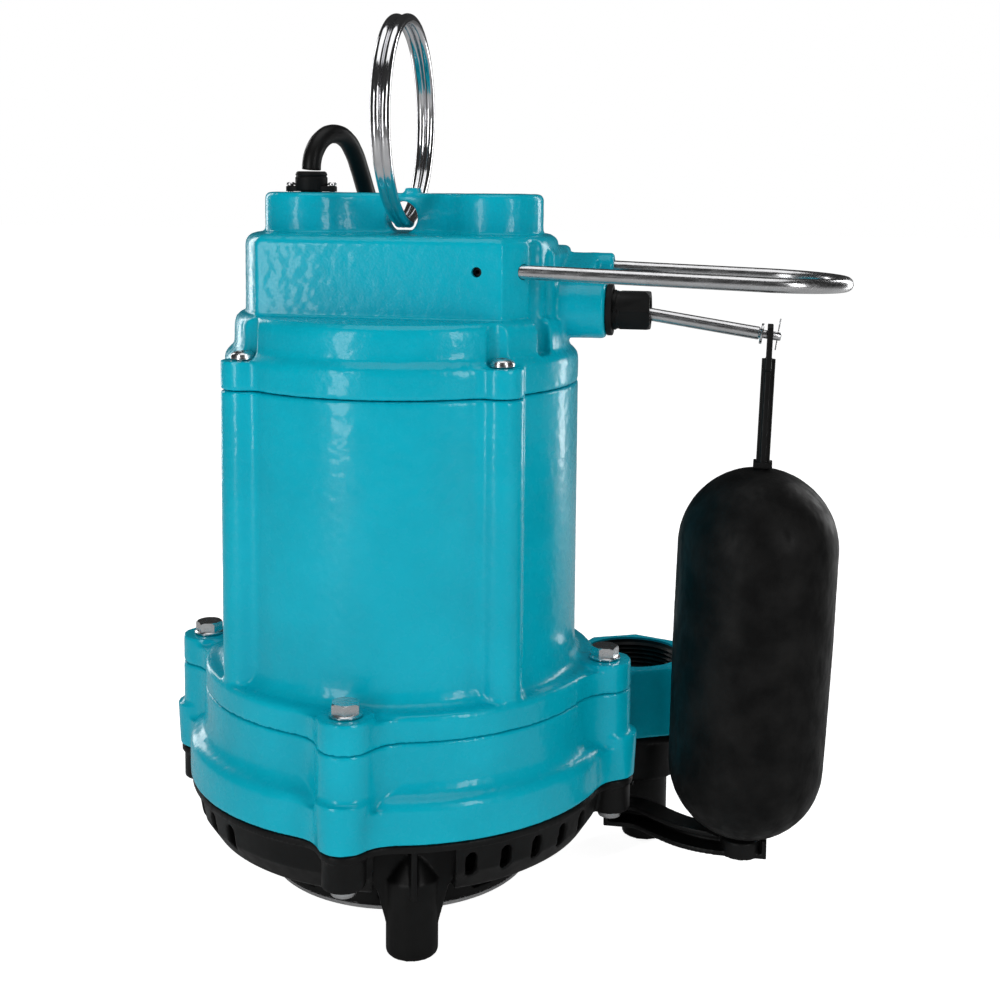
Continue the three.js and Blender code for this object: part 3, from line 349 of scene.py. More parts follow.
def flare(angle, ring_r, lug_at, lug_r, fillet, zs, top_r=None):
    low = flared_lug(ring_r, lug_at, lug_r, fillet)
    high = flared_lug(ring_r, lug_at, top_r or lug_r, fillet)
    return loft([(low, zs[0]), (high, zs[1])], turned_at(angle))


def cushion(points, low, high, edge, bottom_edge=0.0):
    """Upright prism whose top edge, and bottom edge if wanted, is rounded by a quarter circle."""
    sections = []
    if bottom_edge:
        for step in range(4):
            turn = math.radians(30 * step)
            outline = inset(points, bottom_edge * (1 - math.sin(turn)))
            sections.append((outline, low + bottom_edge * (1 - math.cos(turn))))
    else:
        sections.append((points, low))
    for step in range(6):
        turn = math.radians(18 * step)
        sections.append((inset(points, edge * (1 - math.cos(turn))), high - edge * (1 - math.sin(turn))))
    return loft(sections)


def flared_lug(ring_r, lug_at, lug_r, fillet):
    """Outline of a round lug on a ring's edge, out along X, with a hollow fillet on each side."""
    reach, out = ring_r + fillet, lug_r + fillet
    turn = math.degrees(math.acos((reach**2 + lug_at**2 - out**2) / (2 * reach * lug_at)))
    x, y = polar(reach, turn)
    to_ring, to_lug = turn + 180, math.degrees(math.atan2(-y, lug_at - x)) % 360
    low = arc(x, -y, fillet, 360 - to_ring, 360 - to_lug, 10)
    high = arc(x, y, fillet, to_lug, to_ring, 10)
    nose = arc(lug_at, 0, lug_r, 180 - to_lug, to_lug - 180, 24)
    return [polar(ring_r - 14, -turn), *low, *nose[1:-1], *high, polar(ring_r - 14, turn)]


def arc(x, y, radius, start, end, steps):
    points = [polar(radius, start + (end - start) * i / steps) for i in range(steps + 1)]
    return [(x + dx, y + dy) for dx, dy in points]


def smooth_line(points, per):
    """Points of a Catmull-Rom curve through the given ones."""
    knots = [Vector(p) for p in points]
    knots = [2 * knots[0] - knots[1], *knots, 2 * knots[-1] - knots[-2]]
    line = []
    for i in range(1, len(knots) - 2):
        a, b, c, d = knots[i - 1:i + 3]
        for step in range(per):
            t = step / per
            line.append(0.5 * (2 * b + (c - a) * t + (2 * a - 5 * b + 4 * c - d) * t**2
                               + (3 * b - 3 * c + d - a) * t**3))
    line.append(knots[-2])
    return line


def headings_along(line):
    last = len(line) - 1
    return [(line[min(i + 1, last)] - line[max(i - 1, 0)]).normalized() for i in range(last + 1)]


def sweep(line, radius, sides, at=IDENTITY, end_round=0.6):
    """Round bar along a line of points, with its ends' edges rounded."""
    line = [Vector(p) for p in line]
    headings = headings_along(line)
    side = headings[0].orthogonal().normalized()
    stations = []
    for i, (here, heading) in enumerate(zip(line, headings)):
        side = (side - heading * side.dot(heading)).normalized()
        frame_of = (side.copy(), heading.cross(side))
        if i == 0:
            inner = here + heading * end_round
            stations += [(here, radius - end_round, frame_of), (inner, radius, frame_of)]
        elif i == len(line) - 1:
            inner = here - heading * end_round
            stations += [(inner, radius, frame_of), (here, radius - end_round, frame_of)]
        else:
            stations.append((here, radius, frame_of))
    points = []
    for here, size, (u, v) in stations:
        for i in range(sides):
            a, b = polar(size, 360 * i / sides)
            points.append(here + u * a + v * b)
    faces = [tuple(range(sides)), tuple(range(len(points) - sides, len(points)))]
    for k in range(len(stations) - 1):
        for i in range(sides):
            j = (i + 1) % sides
            faces.append((k * sides + i, k * sides + j, (k + 1) * sides + j, (k + 1) * sides + i))
    return solid(points, faces, at)


ROUGH_CAST = bpy.data.textures.new("rough_cast", "CLOUDS")
ROUGH_CAST.noise_scale = 3.4 * MM
ROUGH_CAST.noise_depth = 2


def combined(adds, cuts=(), voxel=None, smooth=0, rough=0.0, crisp=()):
    """Joins and cuts shapes, softens the result as a casting or moulding is, then makes crisp cuts."""
    body = adds[0]
    for tool in adds[1:]:
        add_boolean(body, tool, "UNION")
    for tool in cuts:
        add_boolean(body, tool, "DIFFERENCE")
    if voxel:
        remesh = body.modifiers.new("remesh", "REMESH")
        remesh.mode = "VOXEL"
        remesh.voxel_size = voxel * MM
        soften = body.modifiers.new("soften", "SMOOTH")
        soften.factor = 0.5
        soften.iterations = smooth
    if rough:
        lumps = body.modifiers.new("lumps", "DISPLACE")
        lumps.texture = ROUGH_CAST
        lumps.strength = rough * MM
        lumps.mid_level = 0.5
    for tool in crisp:
        add_boolean(body, tool, "DIFFERENCE")
    evaluated = body.evaluated_get(bpy.context.evaluated_depsgraph_get())
    mesh = bpy.data.meshes.new_from_object(evaluated)
    body.modifiers.clear()
    body.data = mesh
    for tool in (*adds[1:], *cuts, *crisp):
        bpy.data.objects.remove(tool)
    return body


def add_boolean(body, tool, operation):
    boolean = body.modifiers.new("boolean", "BOOLEAN")
    boolean.operation = operation
    boolean.solver = "MANIFOLD"
    boolean.object = tool


def trimmed(body, outside):
    """What two shapes share, such as a hexagon whose corners a lathe has rounded."""
    add_boolean(body, outside, "INTERSECT")
    body = combined([body])
    bpy.data.objects.remove(outside)
    return body


def dress(made, name, slot, body, finish=None, sharp=38):
    """Names a piece and gives it its material and its body."""
    made.name = made.data.name = name
    if made.type == "MESH":
        made.data.shade_smooth()
        made.data.set_sharp_from_angle(angle=math.radians(sharp))
    made.data.materials.clear()
    made.data.materials.append(finish or MATERIALS[slot])
    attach(made, body)


def finish_piece(made, node, *also, sharp=38, name=None):
    """Dresses a piece as its node says, and shows it in the node's place."""
    dress(made, name or f"{node}_detail", SLOTS[node], BODIES[node], FINISHES.get(node), sharp)
    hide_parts(node, *also)
    return made


# Supply cord ------------------------------------------------------------------------------------

CORD_R = 4.4
COIL = (-80, 178)
CORD_ROUTE = [
    (-43.4, 0, 330.3), (-43.3, 0.3, 333.5), (-42.6, 2.4, 338.8), (-40.3, 8.1, 344.8),
    (-37.2, 16.1, 347.1), (-34, 24.2, 344.8), (-31.8, 30.1, 338.8), (-30.4, 35.2, 331),
    (-29.1, 40.5, 321.8), (-27.8, 47.5, 311.5), (-26.5, 56.5, 299.5), (-25, 67, 285),
    (-23.5, 78, 267), (-22.3, 87, 246.5), (-21.5, 93.5, 222), (-21.1, 98, 195),
    (-21.1, 101.5, 165), (-21.1, 104, 135), (-21.1, 105.5, 105), (-21.1, 106.5, 78),
    (-21.1, 108.5, 54), (-21.1, 114, 34), (-21.1, 124, 18.5), (-21.1, 138, 8.8),
    (-21.1, 155, 5.2),
]
CORD_PITCH = 8.85
COIL_START = (58.9, 4.7)
COIL_END = 3105
COIL_STEP = 15
# Where the cord steps over, in degrees of winding: turns outwards, then layers up.
COIL_MOVES = [
    (0, -0.28, 0), (300, -1, 0), (660, -1, 0), (960, 0, 1), (1260, 1, 0), (1620, 1, 0), (1920, 0, 1),
    (2220, -1, 0), (2580, -1, 0), (2925, 0, 1), (2985, 0.85, 0), (3045, 0.85, 0.78),
]
PLUG_Z = 38.2
PLUG_ANGLE = 255
PLUG_CIRCLE = 50
PLUG_BEND = 35
TIE_ANGLE = 20


def coil_points():
    """Nine turns in three layers, each turn at one radius until it steps over to the next."""
    points = []
    for angle in range(0, COIL_END + 1, COIL_STEP):
        radius, height = COIL_START
        for start, out, up in COIL_MOVES:
            t = max(0, min(1, (angle - start) / 60))
            share = t * t * (3 - 2 * t)
            radius += out * CORD_PITCH * share
            height += up * CORD_PITCH * share
        x, y = polar(radius, angle)
        points.append((COIL[0] + x, COIL[1] + y, height))
    return points


def cord_line():
    x, y = polar(PLUG_CIRCLE, PLUG_ANGLE)
    bend = arc(COIL[0] + x - GAP, COIL[1] + y + PLUG_BEND, PLUG_BEND, 225, 270, 3)
    return [*CORD_ROUTE, *coil_points(), *[(bx, by, PLUG_Z) for bx, by in bend[1:]]]


def make_cord():
    data = bpy.data.curves.new("supply_cord", "CURVE")
    data.dimensions = "3D"
    data.bevel_depth = CORD_R * MM
    data.bevel_resolution = 6
    data.resolution_u = 6
    data.use_fill_caps = True
    spline = data.splines.new("BEZIER")
    line = cord_line()
    spline.bezier_points.add(len(line) - 1)
    for knot, point in zip(spline.bezier_points, line):
        knot.co = placed(point)
        knot.handle_left_type = knot.handle_right_type = "AUTO"
    made = bpy.data.objects.new("supply_cord", data)
    bpy.context.scene.collection.objects.link(made)
    return finish_piece(made, "cord", "cord_coil", "cord_tail", name="supply_cord")


def plug_place():
    x, y = polar(PLUG_CIRCLE, PLUG_ANGLE)
    return along_x(COIL[0] + x, COIL[1] + y, PLUG_Z) @ Matrix.Rotation(math.radians(-90), 4, "Z")


def plug_section(across, up, corner):
    """A rounded rectangle, in the plane that faces along the plug."""
    sides = [(across - corner, up - corner, 0), (-across + corner, up - corner, 90),
             (-across + corner, -up + corner, 180), (across - corner, -up + corner, 270)]
    return [point for x, y, turn in sides for point in arc(x, y, corner, turn, turn + 90, 6)]


def make_plug():
    """Moulded plug: a ribbed relief, a waisted grip and a flat face."""
    at = plug_place()
    profile = [
        (0, 5.0, 5.0), (2, 5.6, 5.6), (3.2, 5.0, 5.0), (5, 6.2, 6.2), (6.4, 5.6, 5.6), (8.6, 7.0, 7.0),
        (10, 6.6, 6.6), (12, 8.0, 8.0), (15, 11.0, 9.4), (22, 11.8, 9.8), (30, 11.2, 9.4),
        (36, 12.6, 10.2), (44, 13.0, 10.5), (45.4, 12.8, 10.3), (46, 12.2, 9.7),
    ]
    sections = [(plug_section(a, b, min(a, b) * 0.72), z) for z, a, b in profile]
    ridges = [block((-9, 9), (up - 0.55, up + 0.55), (17 + 3.2 * k, 18.4 + 3.2 * k), at)
              for up in (-9.9, 9.9) for k in range(5)]
    made = combined([loft(sections, at), *ridges], voxel=0.5, smooth=3, crisp=plug_sockets(at))
    finish_piece(made, "plug_body")


def plug_sockets(at):
    slots = [block((side * 6.35 - 1.1, side * 6.35 + 1.1), (0.9, 7.9), (37, 47), at) for side in (-1, 1)]
    hole = loft([(circle(2.7, 24, 0, -5.5), 37), (circle(2.7, 24, 0, -5.5), 47)], at)
    return [*slots, hole]


def make_blades():
    at = plug_place()
    for number, side in ((1, -1), (2, 1)):
        x = side * 6.35
        outline = [(x - 0.8, 1.3), (x + 0.8, 1.3), (x + 0.8, 7.5), (x - 0.8, 7.5)]
        blade = loft([(outline, 38.5), (outline, 60), (inset(outline, 0.35), 62)], at)
        hole_at = at @ Matrix.Translation((x - 2, 4.4, 57)) @ Matrix.Rotation(math.radians(90), 4, "Y")
        hole = loft([(circle(1.5, 24), 0), (circle(1.5, 24), 4)], hole_at)
        finish_piece(combined([blade], [hole]), f"plug_blade_{number}")
    sections = [(circle(r, 24, 0, -5.5), z) for z, r in ((38.5, 2.4), (61, 2.4), (63, 1.8), (64, 0.8))]
    finish_piece(loft(sections, at), "plug_ground_pin")


def make_tie():
    """Strap round the coil's nine cords, with the head of its lock on top."""
    at = turned_about_coil(TIE_ANGLE)
    strap = loft([(tie_section(15.4, 14.1), -2.4), (tie_section(15.4, 14.1), 2.4)], at)
    room = loft([(tie_section(14.5, 13.75), -3), (tie_section(14.5, 13.75), 3)], at)
    head = block((10.5, 15.2), (26, 30.5), (-3, 3), at)
    tail = block((7.5, 18.5), (28.6, 29.6), (-1.9, 1.9), at)
    made = combined([strap, head, tail], [room])
    dress(made, "cord_tie", "black_plastic", "pump")


def turned_about_coil(angle):
    """A frame on the coil's cross-section at an angle: X outwards from its middle turn, Y up."""
    middle = Matrix.Translation((COIL[0], COIL[1], 0)) @ turned_at(angle) @ Matrix.Translation((48.6, 0, 0))
    return middle @ Matrix.Rotation(math.radians(90), 4, "X")


def tie_section(across, up):
    return [(x, y + 14.1) for x, y in plug_section(across, up, 4)]


cord_piece = make_cord()
make_plug()
make_blades()
make_tie()

# Cover ------------------------------------------------------------------------------------------

HOUSING_TOP = 235.7
COVER_LOW = HOUSING_TOP + GAP
COVER_FLANGE = 248.5
LUGS = [0, 90, 180, 270]
COVER_LUGS = [45, 135, 225, 315]
COVER_SCREW_CIRCLE = 80
BOLT_CIRCLE = 95.2
BASE_SCREW_CIRCLE = 98.5
SWITCH_Z = 269
GUARD_HALF = 35
GUARD_Z = 287.1
GUARD_R = 3.175
GUARD_SLOPE = about_y((60, GUARD_Z), 1.9)
SET_SCREW = (43.2, 287.3)
CAST_VOXEL = 0.9
GRIP = (-43.4, 0)
GRIP_SCREW_AT = 9.9
ARM_SCREW = (101, 37)


def flatted(radius, half_depth):
    """A circle with a flat front and a flat back."""
    corner = math.degrees(math.asin(half_depth / radius))
    right = arc(0, 0, radius, -corner, corner, 20)
    return [*right, *arc(0, 0, radius, 180 - corner, 180 + corner, 20)]


def platform_outline():
    """Two round lobes joined by a narrow waist that carries the lifting ring."""
    lobe_x, lobe_r, waist_x, waist_half = 43, 21.5, 27, 4.7
    waist_y = math.sqrt(lobe_r**2 - (lobe_x - waist_x)**2)
    sagitta = waist_y - waist_half
    radius = (waist_x**2 + sagitta**2) / (2 * sagitta)
    centre = waist_half + radius
    lobe = math.degrees(math.atan2(waist_y, waist_x - lobe_x))
    waist = math.degrees(math.atan2(waist_y - centre, waist_x))
    right = arc(lobe_x, 0, lobe_r, -lobe, lobe, 28)
    back = arc(0, centre, radius, waist, -180 - waist, 20)[1:-1]
    left = arc(-lobe_x, 0, lobe_r, 180 - lobe, 180 + lobe, 28)
    front = arc(0, -centre, radius, 180 + waist, -waist, 20)[1:-1]
    return [*right, *back, *left, *front]


def guard_bore(side, start, end):
    return bar_x(GUARD_R + GAP, start, end, side * GUARD_HALF, GUARD_Z, 32, GUARD_SLOPE)


def make_cover():
    skirt = lathe([
        (0, COVER_LOW), (80.1, COVER_LOW), (80.5, 236.5), (80.5, 247), (79.9, 248.6), (78.5, 250.2),
        (76.8, 251.6), (76.2, 253.5), (76, 262), (75.2, 264.6), (73, 266.5), (0, 266.5),
    ], 160)
    bosses = [flare(a, 80.5, COVER_SCREW_CIRCLE, 9.5, 6, (COVER_LOW, COVER_FLANGE)) for a in COVER_LUGS]
    chamber = cushion(flatted(71, 46), 256, 302, 5)
    platform = cushion(platform_outline(), 290, 320, 2.6)
    nub = block((1.5, 7.5), (-4, 4), (315, 322.3))
    housing_box = plug_section(30.5, 16, 3)
    switch_housing = cushion([(56 + y, 13.5 + x) for x, y in reversed(housing_box)], 250, 296, 3)
    bridge = loft([(bridge_outline(), 60), (bridge_outline(), 85), (inset(bridge_outline(), 1.2), 86.2)],
                  along_x() @ Matrix.Rotation(math.radians(90), 4, "Z"))
    boss = lathe([(0, 60), (13, 60), (13, 92.6), (11.8, 93.8), (0, 93.8)], 64, along_x(0, 0, SWITCH_Z))
    far_boss = lathe([(0, 55), (6.8, 55), (6.8, 92.3), (5.8, 93.3), (0, 93.3)],
                     48, along_x(0, GUARD_HALF, 286))
    soft_cuts = [post(5.5, 251, 300, 68, -28.5)]
    soft_cuts += [post(6.6, COVER_FLANGE, 280, *polar(COVER_SCREW_CIRCLE, a)) for a in COVER_LUGS]
    soft_cuts += [bar_y(7.3, -22, 22, 0.5, 309)]
    crisp = [
        post(70, COVER_LOW - 1, 261), loft([(flatted(64, 28), 255), (flatted(64, 28), 295)]),
        bar_x(9.3, 55, 95, 0, SWITCH_Z), post(5.2, 290, 322, *GRIP), bar_y(2.2, -50, -37, *SET_SCREW),
        guard_bore(-1, 36, 70), guard_bore(1, 52, 100),
    ]
    crisp += [post(2.7, COVER_LOW - 1, COVER_FLANGE + 4, *polar(COVER_SCREW_CIRCLE, a), 24)
              for a in COVER_LUGS]
    crisp += [post(1.7, 312, 321, GRIP[0] + side * GRIP_SCREW_AT, 0, 24) for side in (-1, 1)]
    adds = [skirt, *bosses, chamber, platform, nub, switch_housing, bridge, boss, far_boss]
    made = combined(adds, soft_cuts, CAST_VOXEL, 4, 0.24, crisp)
    finish_piece(made, "cover", "cover_seal_ring")


def bridge_outline():
    """Outline round the switch boss and the far guard boss, drawn across (Y, Z)."""
    y0, z0, r0, y1, z1, r1 = 0, SWITCH_Z, 13, GUARD_HALF, 286, 6.8
    between = math.degrees(math.atan2(z1 - z0, y1 - y0))
    lean = math.degrees(math.acos((r0 - r1) / math.hypot(y1 - y0, z1 - z0)))
    big = arc(y0, z0, r0, between + lean, between - lean + 360, 30)
    return [*big, *arc(y1, z1, r1, between - lean, between + lean, 14)]


# Motor housing ----------------------------------------------------------------------------------

FLANGE_TOP = 107.6


def make_housing():
    barrel = lathe([
        (0, 96.3), (90.5, 96.3), (90.5, 105.6), (89.8, 107.0), (88.4, 107.6), (84.4, 108.2), (82, 110),
        (80.9, 113.5), (80.5, 118), (80.5, 235.3), (80.1, HOUSING_TOP), (0, HOUSING_TOP),
    ], 160)
    ribs = [flare(a, 80.5, COVER_SCREW_CIRCLE, 9.5, 6, (100.3, HOUSING_TOP)) for a in COVER_LUGS]
    bosses = [flare(a, 90.5, BOLT_CIRCLE, 12, 20, (96.3, 106.4)) for a in LUGS]
    bosses += [post(12, 96.3, FLANGE_TOP + 1.4, *polar(BOLT_CIRCLE, a)) for a in LUGS]
    crisp = [post(74, 124.8, 240, sides=128), post(14, 95, 130)]
    crisp += [post(3.5, 95, 112, *polar(BOLT_CIRCLE, a), 24) for a in LUGS]
    crisp += [post(2.7, 219.7, 240, *polar(COVER_SCREW_CIRCLE, a), 24) for a in COVER_LUGS]
    crisp += [post(20.3, 112, 130), ring(24, 74, 112, 126)]
    made = combined([barrel, *ribs, *bosses], (), CAST_VOXEL, 4, 0.2, crisp)
    finish_piece(made, "motor_housing", "housing_seal_ring")


# Volute and its port ----------------------------------------------------------------------------

PORT_ANGLE = 24.8
PORT_AT = polar(114.4, PORT_ANGLE)
PORT_TOP = 97.5


def octagon(flat):
    return circle(flat / math.cos(math.radians(22.5)), 8, *PORT_AT, PORT_ANGLE + 22.5)


def make_volute():
    low = 55.3
    ring_part = lathe([
        (0, low), (97, low), (97.7, 56), (97.7, 69.6), (97.2, 71.6), (95.6, 73.4), (93.4, 74.5),
        (91.6, 76.4), (90.8, 79), (90.5, 82), (90.5, 95.6), (90, 96), (0, 96),
    ], 160)
    lugs = [flare(a, 90.5, BOLT_CIRCLE, 12, 20, (low + 12, 96)) for a in LUGS]
    lugs += [flare(a, 97.7, BASE_SCREW_CIRCLE, 11, 16, (low, 70.5), 11.7) for a in LUGS]
    lugs += [post(11, low, 76, *polar(BASE_SCREW_CIRCLE, a), top=12) for a in LUGS]
    port = cushion(octagon(28), 64, PORT_TOP, 1.8, 1.2)
    neck = radial_block(PORT_ANGLE, (60, 106.4), (-24, 24), (64, 91))
    rooms = [ring(20, 93, 96, 101)]
    rooms += [post(13.4, 96, 101, *polar(BOLT_CIRCLE, a)) for a in (0, 90)]
    port = combined([port], rooms)
    crisp = [
        post(66, low - 1, 88, sides=96), post(23.3, 63, PORT_TOP + 1, *PORT_AT, 96), post(14, 80, 100),
        radial_block(PORT_ANGLE, (55, 114.4), (-14, 14), (66, 76)),
    ]
    crisp += [post(3.5, 81, 100, *polar(BOLT_CIRCLE, a), 24) for a in LUGS]
    crisp += [post(3.1, low - 1, 71, *polar(BASE_SCREW_CIRCLE, a), 24) for a in LUGS]
    made = combined([ring_part, *lugs, port, neck], (), CAST_VOXEL, 4, 0.2, crisp)
    finish_piece(made, "volute_casing", "discharge_port")


def make_liner():
    """Sleeve with a pipe thread: ridges down its inside."""
    pitch, crest, root = 2.2, 20.9, 22.0
    inside = []
    z = PORT_TOP - 0.9
    inside.append((22.4, z))
    z -= 1.2
    while z > 79.2:
        inside += [(root, z), (crest, z - pitch / 2)]
        z -= pitch
    inside.append((crest, 78))
    profile = [(23.0, 78), (23.0, PORT_TOP - 0.9), *inside]
    made = lathe(profile, 96, Matrix.Translation((*PORT_AT, 0)))
    finish_piece(made, "discharge_liner", sharp=25)


# Base -------------------------------------------------------------------------------------------

FOOT_ANGLES = [-72.8, 160]
PLAIN = [(0, 12), (90, 12), (180, 12), (270, 31), (24.8, 26), (160, 17)]


def slotted(angle):
    return all(abs((angle - middle + 540) % 360 - 180) >= half for middle, half in PLAIN)


def wall_slot(angle):
    """A slot through the wall, with a rounded top and bottom."""
    half, low, high = 2.6, 37.5, 48.5
    outline = [*arc(0, high - half, half, 0, 180, 8), *arc(0, low + half, half, 180, 360, 8)]
    at = turned_at(angle) @ along_x(80) @ Matrix.Rotation(math.radians(90), 4, "Z")
    return loft([(outline, 0), (outline, 20)], at)


def foot_pieces(angle):
    gusset = [(-21, 51.8), (-11, 13), (11, 13), (21, 51.8)]
    at = turned_at(angle) @ along_x(77) @ Matrix.Rotation(math.radians(90), 4, "Z")
    x, y = polar(76.3, angle)
    outline = circle(11.15, 40, x, y)
    leg = loft([(inset(outline, 0.8), 0), (outline, 1.0), (outline, 33), (inset(outline, 6), 42)])
    return [
        leg, loft([(gusset, 0), (gusset, 2.4)], at),
        radial_block(angle, (70, 72.5), (-18, 18), (30, 53)),
        radial_block(angle, (70, 79.4), (-18, -15.6), (30, 53)),
        radial_block(angle, (70, 79.4), (15.6, 18), (30, 53)),
        radial_block(angle, (70, 90), (-1.3, 1.3), (28, 53)),
    ]


def make_base():
    top = combined([post(97, 51.8, 55, sides=128),
                    *[flare(a, 97, BASE_SCREW_CIRCLE, 10.4, 16, (51.8, 55)) for a in LUGS]])
    wall = lathe([
        (95, 52.5), (93, 40), (87, 31), (84, 29), (61, 29), (61, 12), (58, 12), (58, 32), (83, 32),
        (89.3, 40), (91.2, 52.5),
    ], 144)
    cuts = [radial_block(a, (73, 100), (-17, 17), (20, 51.5)) for a in FOOT_ANGLES]
    cuts += [wall_slot(a) for a in range(2, 360, 10) if slotted(a)]
    cuts += [radial_block(40 * i, (50, 70), (-6, 6), (15, 27)) for i in range(9)]
    body = combined([top, wall], cuts)
    posts = [post(9.2, 38.6, 55, *polar(BASE_SCREW_CIRCLE, a)) for a in LUGS]
    feet = [piece for a in FOOT_ANGLES for piece in foot_pieces(a)]
    lip = cushion(octagon(27), 60.6, 63.7, 0.6)
    leg = post(11, 0, 43.5, 109.6, 64.1)
    neck = radial_block(PORT_ANGLE, (88, 114.4), (-14, 14), (41.5, 53))
    elbow = combined(
        [post(24, 41.5, 61, *PORT_AT, 64), lip, leg, neck],
        [post(98, 55, 70, sides=128), post(12.3, 55, 80, *polar(BASE_SCREW_CIRCLE, 0))],
    )
    sump = combined([post(19.5, 47, 70, *PORT_AT)], [post(100.7, 40, 72, sides=128)])
    crisp = [post(22, 45, 60), sump, post(2.3, 38, 46.5, *ARM_SCREW, 24)]
    crisp += [post(3.1, 35, 60, *polar(BASE_SCREW_CIRCLE, a), 24) for a in LUGS]
    made = combined([body, *posts, *feet, elbow], (), 0.8, 2, 0.0, crisp)
    finish_piece(made, "base")


def make_inlet_plate():
    plate = lathe([(0, 9.5), (59.6, 9.5), (60.2, 10), (60.2, 11.3), (59.8, 11.7), (0, 11.7)], 128)
    holes = [post(7, 5, 15, *polar(38, 22.5 + 45 * i)) for i in range(8)]
    finish_piece(combined([plate], holes), "inlet_plate")


ARM_LINE = [(94, 22), (106, 22.3), (114, 19.5), (124, 11), (134, 4.6), (147, 1), (170, 0.6)]


def arm_strip(right, left):
    """Plan of a strip of the arm between two offsets from its middle line."""
    line = smooth_line([(x, y, 0) for x, y in ARM_LINE], 4)
    sides = ([], [])
    for here, along in zip(line, headings_along(line)):
        for side, offset in zip(sides, (right, left)):
            side.append((here.x - offset * along.y, here.y + offset * along.x))
    return [*sides[0], *reversed(sides[1])]


def make_arm():
    low, high, skin = 22, 32.6, 2.2
    full, web = arm_strip(-6, 6), arm_strip(3.8, 6)
    adds = [
        loft([(full, low), (full, low + skin)]), loft([(full, high - skin), (full, high)]),
        loft([(web, low), (web, high)]), block((168, 170.2), (-5.4, 6.6), (low, high)),
        block((94, 96.2), (16, 28), (low, high)), block((94, 104), (25.6, 28), (low, 41.2)),
        block((94, 107), (25.6, 42), (38.7, 41.2)),
    ]
    reach = 41.3
    dome = [(math.cos(math.radians(a)) * reach, 66.5 + 0.9 * math.sin(math.radians(a)) * reach)
            for a in range(-84, 90, 6)]
    room = lathe([(0, dome[0][1]), *dome, (0, dome[-1][1])], 64, Matrix.Translation((159.7, 0, 0)))
    arm = combined(adds, [room])
    pad = cushion(circle(9, 48, 158.5, 0.6), low, 29.8, 0.8)
    made = combined([arm, pad], (), 0.55, 2, 0.0, [post(2.3, 30, 50, *ARM_SCREW, 24)])
    finish_piece(made, "float_rest_arm")


# Fasteners --------------------------------------------------------------------------------------

HEX_CIRCUMRADIUS = 6.4


def make_hex_bolt(number, angle):
    """Bolt with a flanged hexagon head, chamfered on top."""
    x, y = polar(BOLT_CIRCLE, angle)
    seat = FLANGE_TOP + 1.4 + GAP
    flange = lathe([(0, seat), (6.8, seat), (7, seat + 0.2), (7, seat + 0.8), (6.2, seat + 1.3),
                    (0, seat + 1.3)], 64, Matrix.Translation((x, y, 0)))
    corners = circle(HEX_CIRCUMRADIUS, 6, x, y, 12 + angle / 3)
    head = loft([(corners, seat + 1), (corners, seat + 5.6)])
    dome = lathe([(0, seat), (6.7, seat), (6.7, seat + 4.6), (5.7, seat + 5.6), (0, seat + 5.6)],
                 64, Matrix.Translation((x, y, 0)))
    head = trimmed(head, dome)
    shank = post(3, seat - 25, seat + 1, x, y, 24)
    finish_piece(combined([flange, head, shank]), f"housing_bolt_{number}", sharp=28)


def cross_recess(x, y, z, up, size):
    """The two tapered bars of a cross recess, cut into a head from its outer side."""
    bars = []
    for turn in (20, 110):
        at = Matrix.Translation((x, y, z)) @ turned_at(turn)
        zs = (-1.9 * up, 0.6 * up)
        bars.append(block((-size, size), (-0.55, 0.55), (min(zs), max(zs)), at))
    return bars


def make_pan_screw(number, angle):
    x, y = polar(COVER_SCREW_CIRCLE, angle)
    seat = COVER_FLANGE + GAP
    profile = [(0, seat), (5.0, seat), (5.25, seat + 0.3), (5.25, seat + 1.3), (4.9, seat + 2.3),
               (3.9, seat + 3.1), (2.4, seat + 3.5), (0, seat + 3.6)]
    head = lathe(profile, 48, Matrix.Translation((x, y, 0)))
    shank = post(2.3, seat - 26, seat + 1, x, y, 24)
    made = combined([head, shank], cross_recess(x, y, seat + 3.4, 1, 2.5))
    finish_piece(made, f"cover_screw_{number}", sharp=30)


def make_up_screw(node, x, y, seat, head_r, shank_r, length):
    head = lathe([(0, seat - 3.6), (head_r - 1.6, seat - 3.6), (head_r - 0.6, seat - 3),
                  (head_r, seat - 1.6), (head_r, seat), (0, seat)], 48, Matrix.Translation((x, y, 0)))
    shank = post(shank_r, seat - 1, seat + length, x, y, 24)
    made = combined([head, shank], cross_recess(x, y, seat - 3.4, -1, head_r * 0.5))
    finish_piece(made, node, sharp=30)


def make_fasteners():
    for number, angle in enumerate(LUGS, 1):
        make_hex_bolt(number, angle)
        make_up_screw(f"base_screw_{number}", *polar(BASE_SCREW_CIRCLE, angle), 38.3, 5.8, 2.6, 30)
    for number, angle in enumerate(COVER_LUGS, 1):
        make_pan_screw(number, angle)
    make_up_screw("arm_screw", *ARM_SCREW, 38.4, 4, 1.9, 7.5)


# Lifting ring -----------------------------------------------------------------------------------


def make_lifting_ring():
    """One wire wound twice, stepping over between its turns as a split ring does."""
    centre_x, centre_z, radius, wire, pitch, turns = 0.5, 352.2, 45.6, 2.4, 5.1, 2
    line = []
    for i in range(361):
        t = i / 360
        angle = -90 + 360 * turns * t
        shift = max(-pitch / 2, min(pitch / 2, pitch * (turns * t - turns / 2)))
        across, up = polar(radius, angle)
        line.append((centre_x + shift, across, centre_z + up))
    finish_piece(sweep(line, wire, 24), "lifting_ring")


# Cord grip --------------------------------------------------------------------------------------


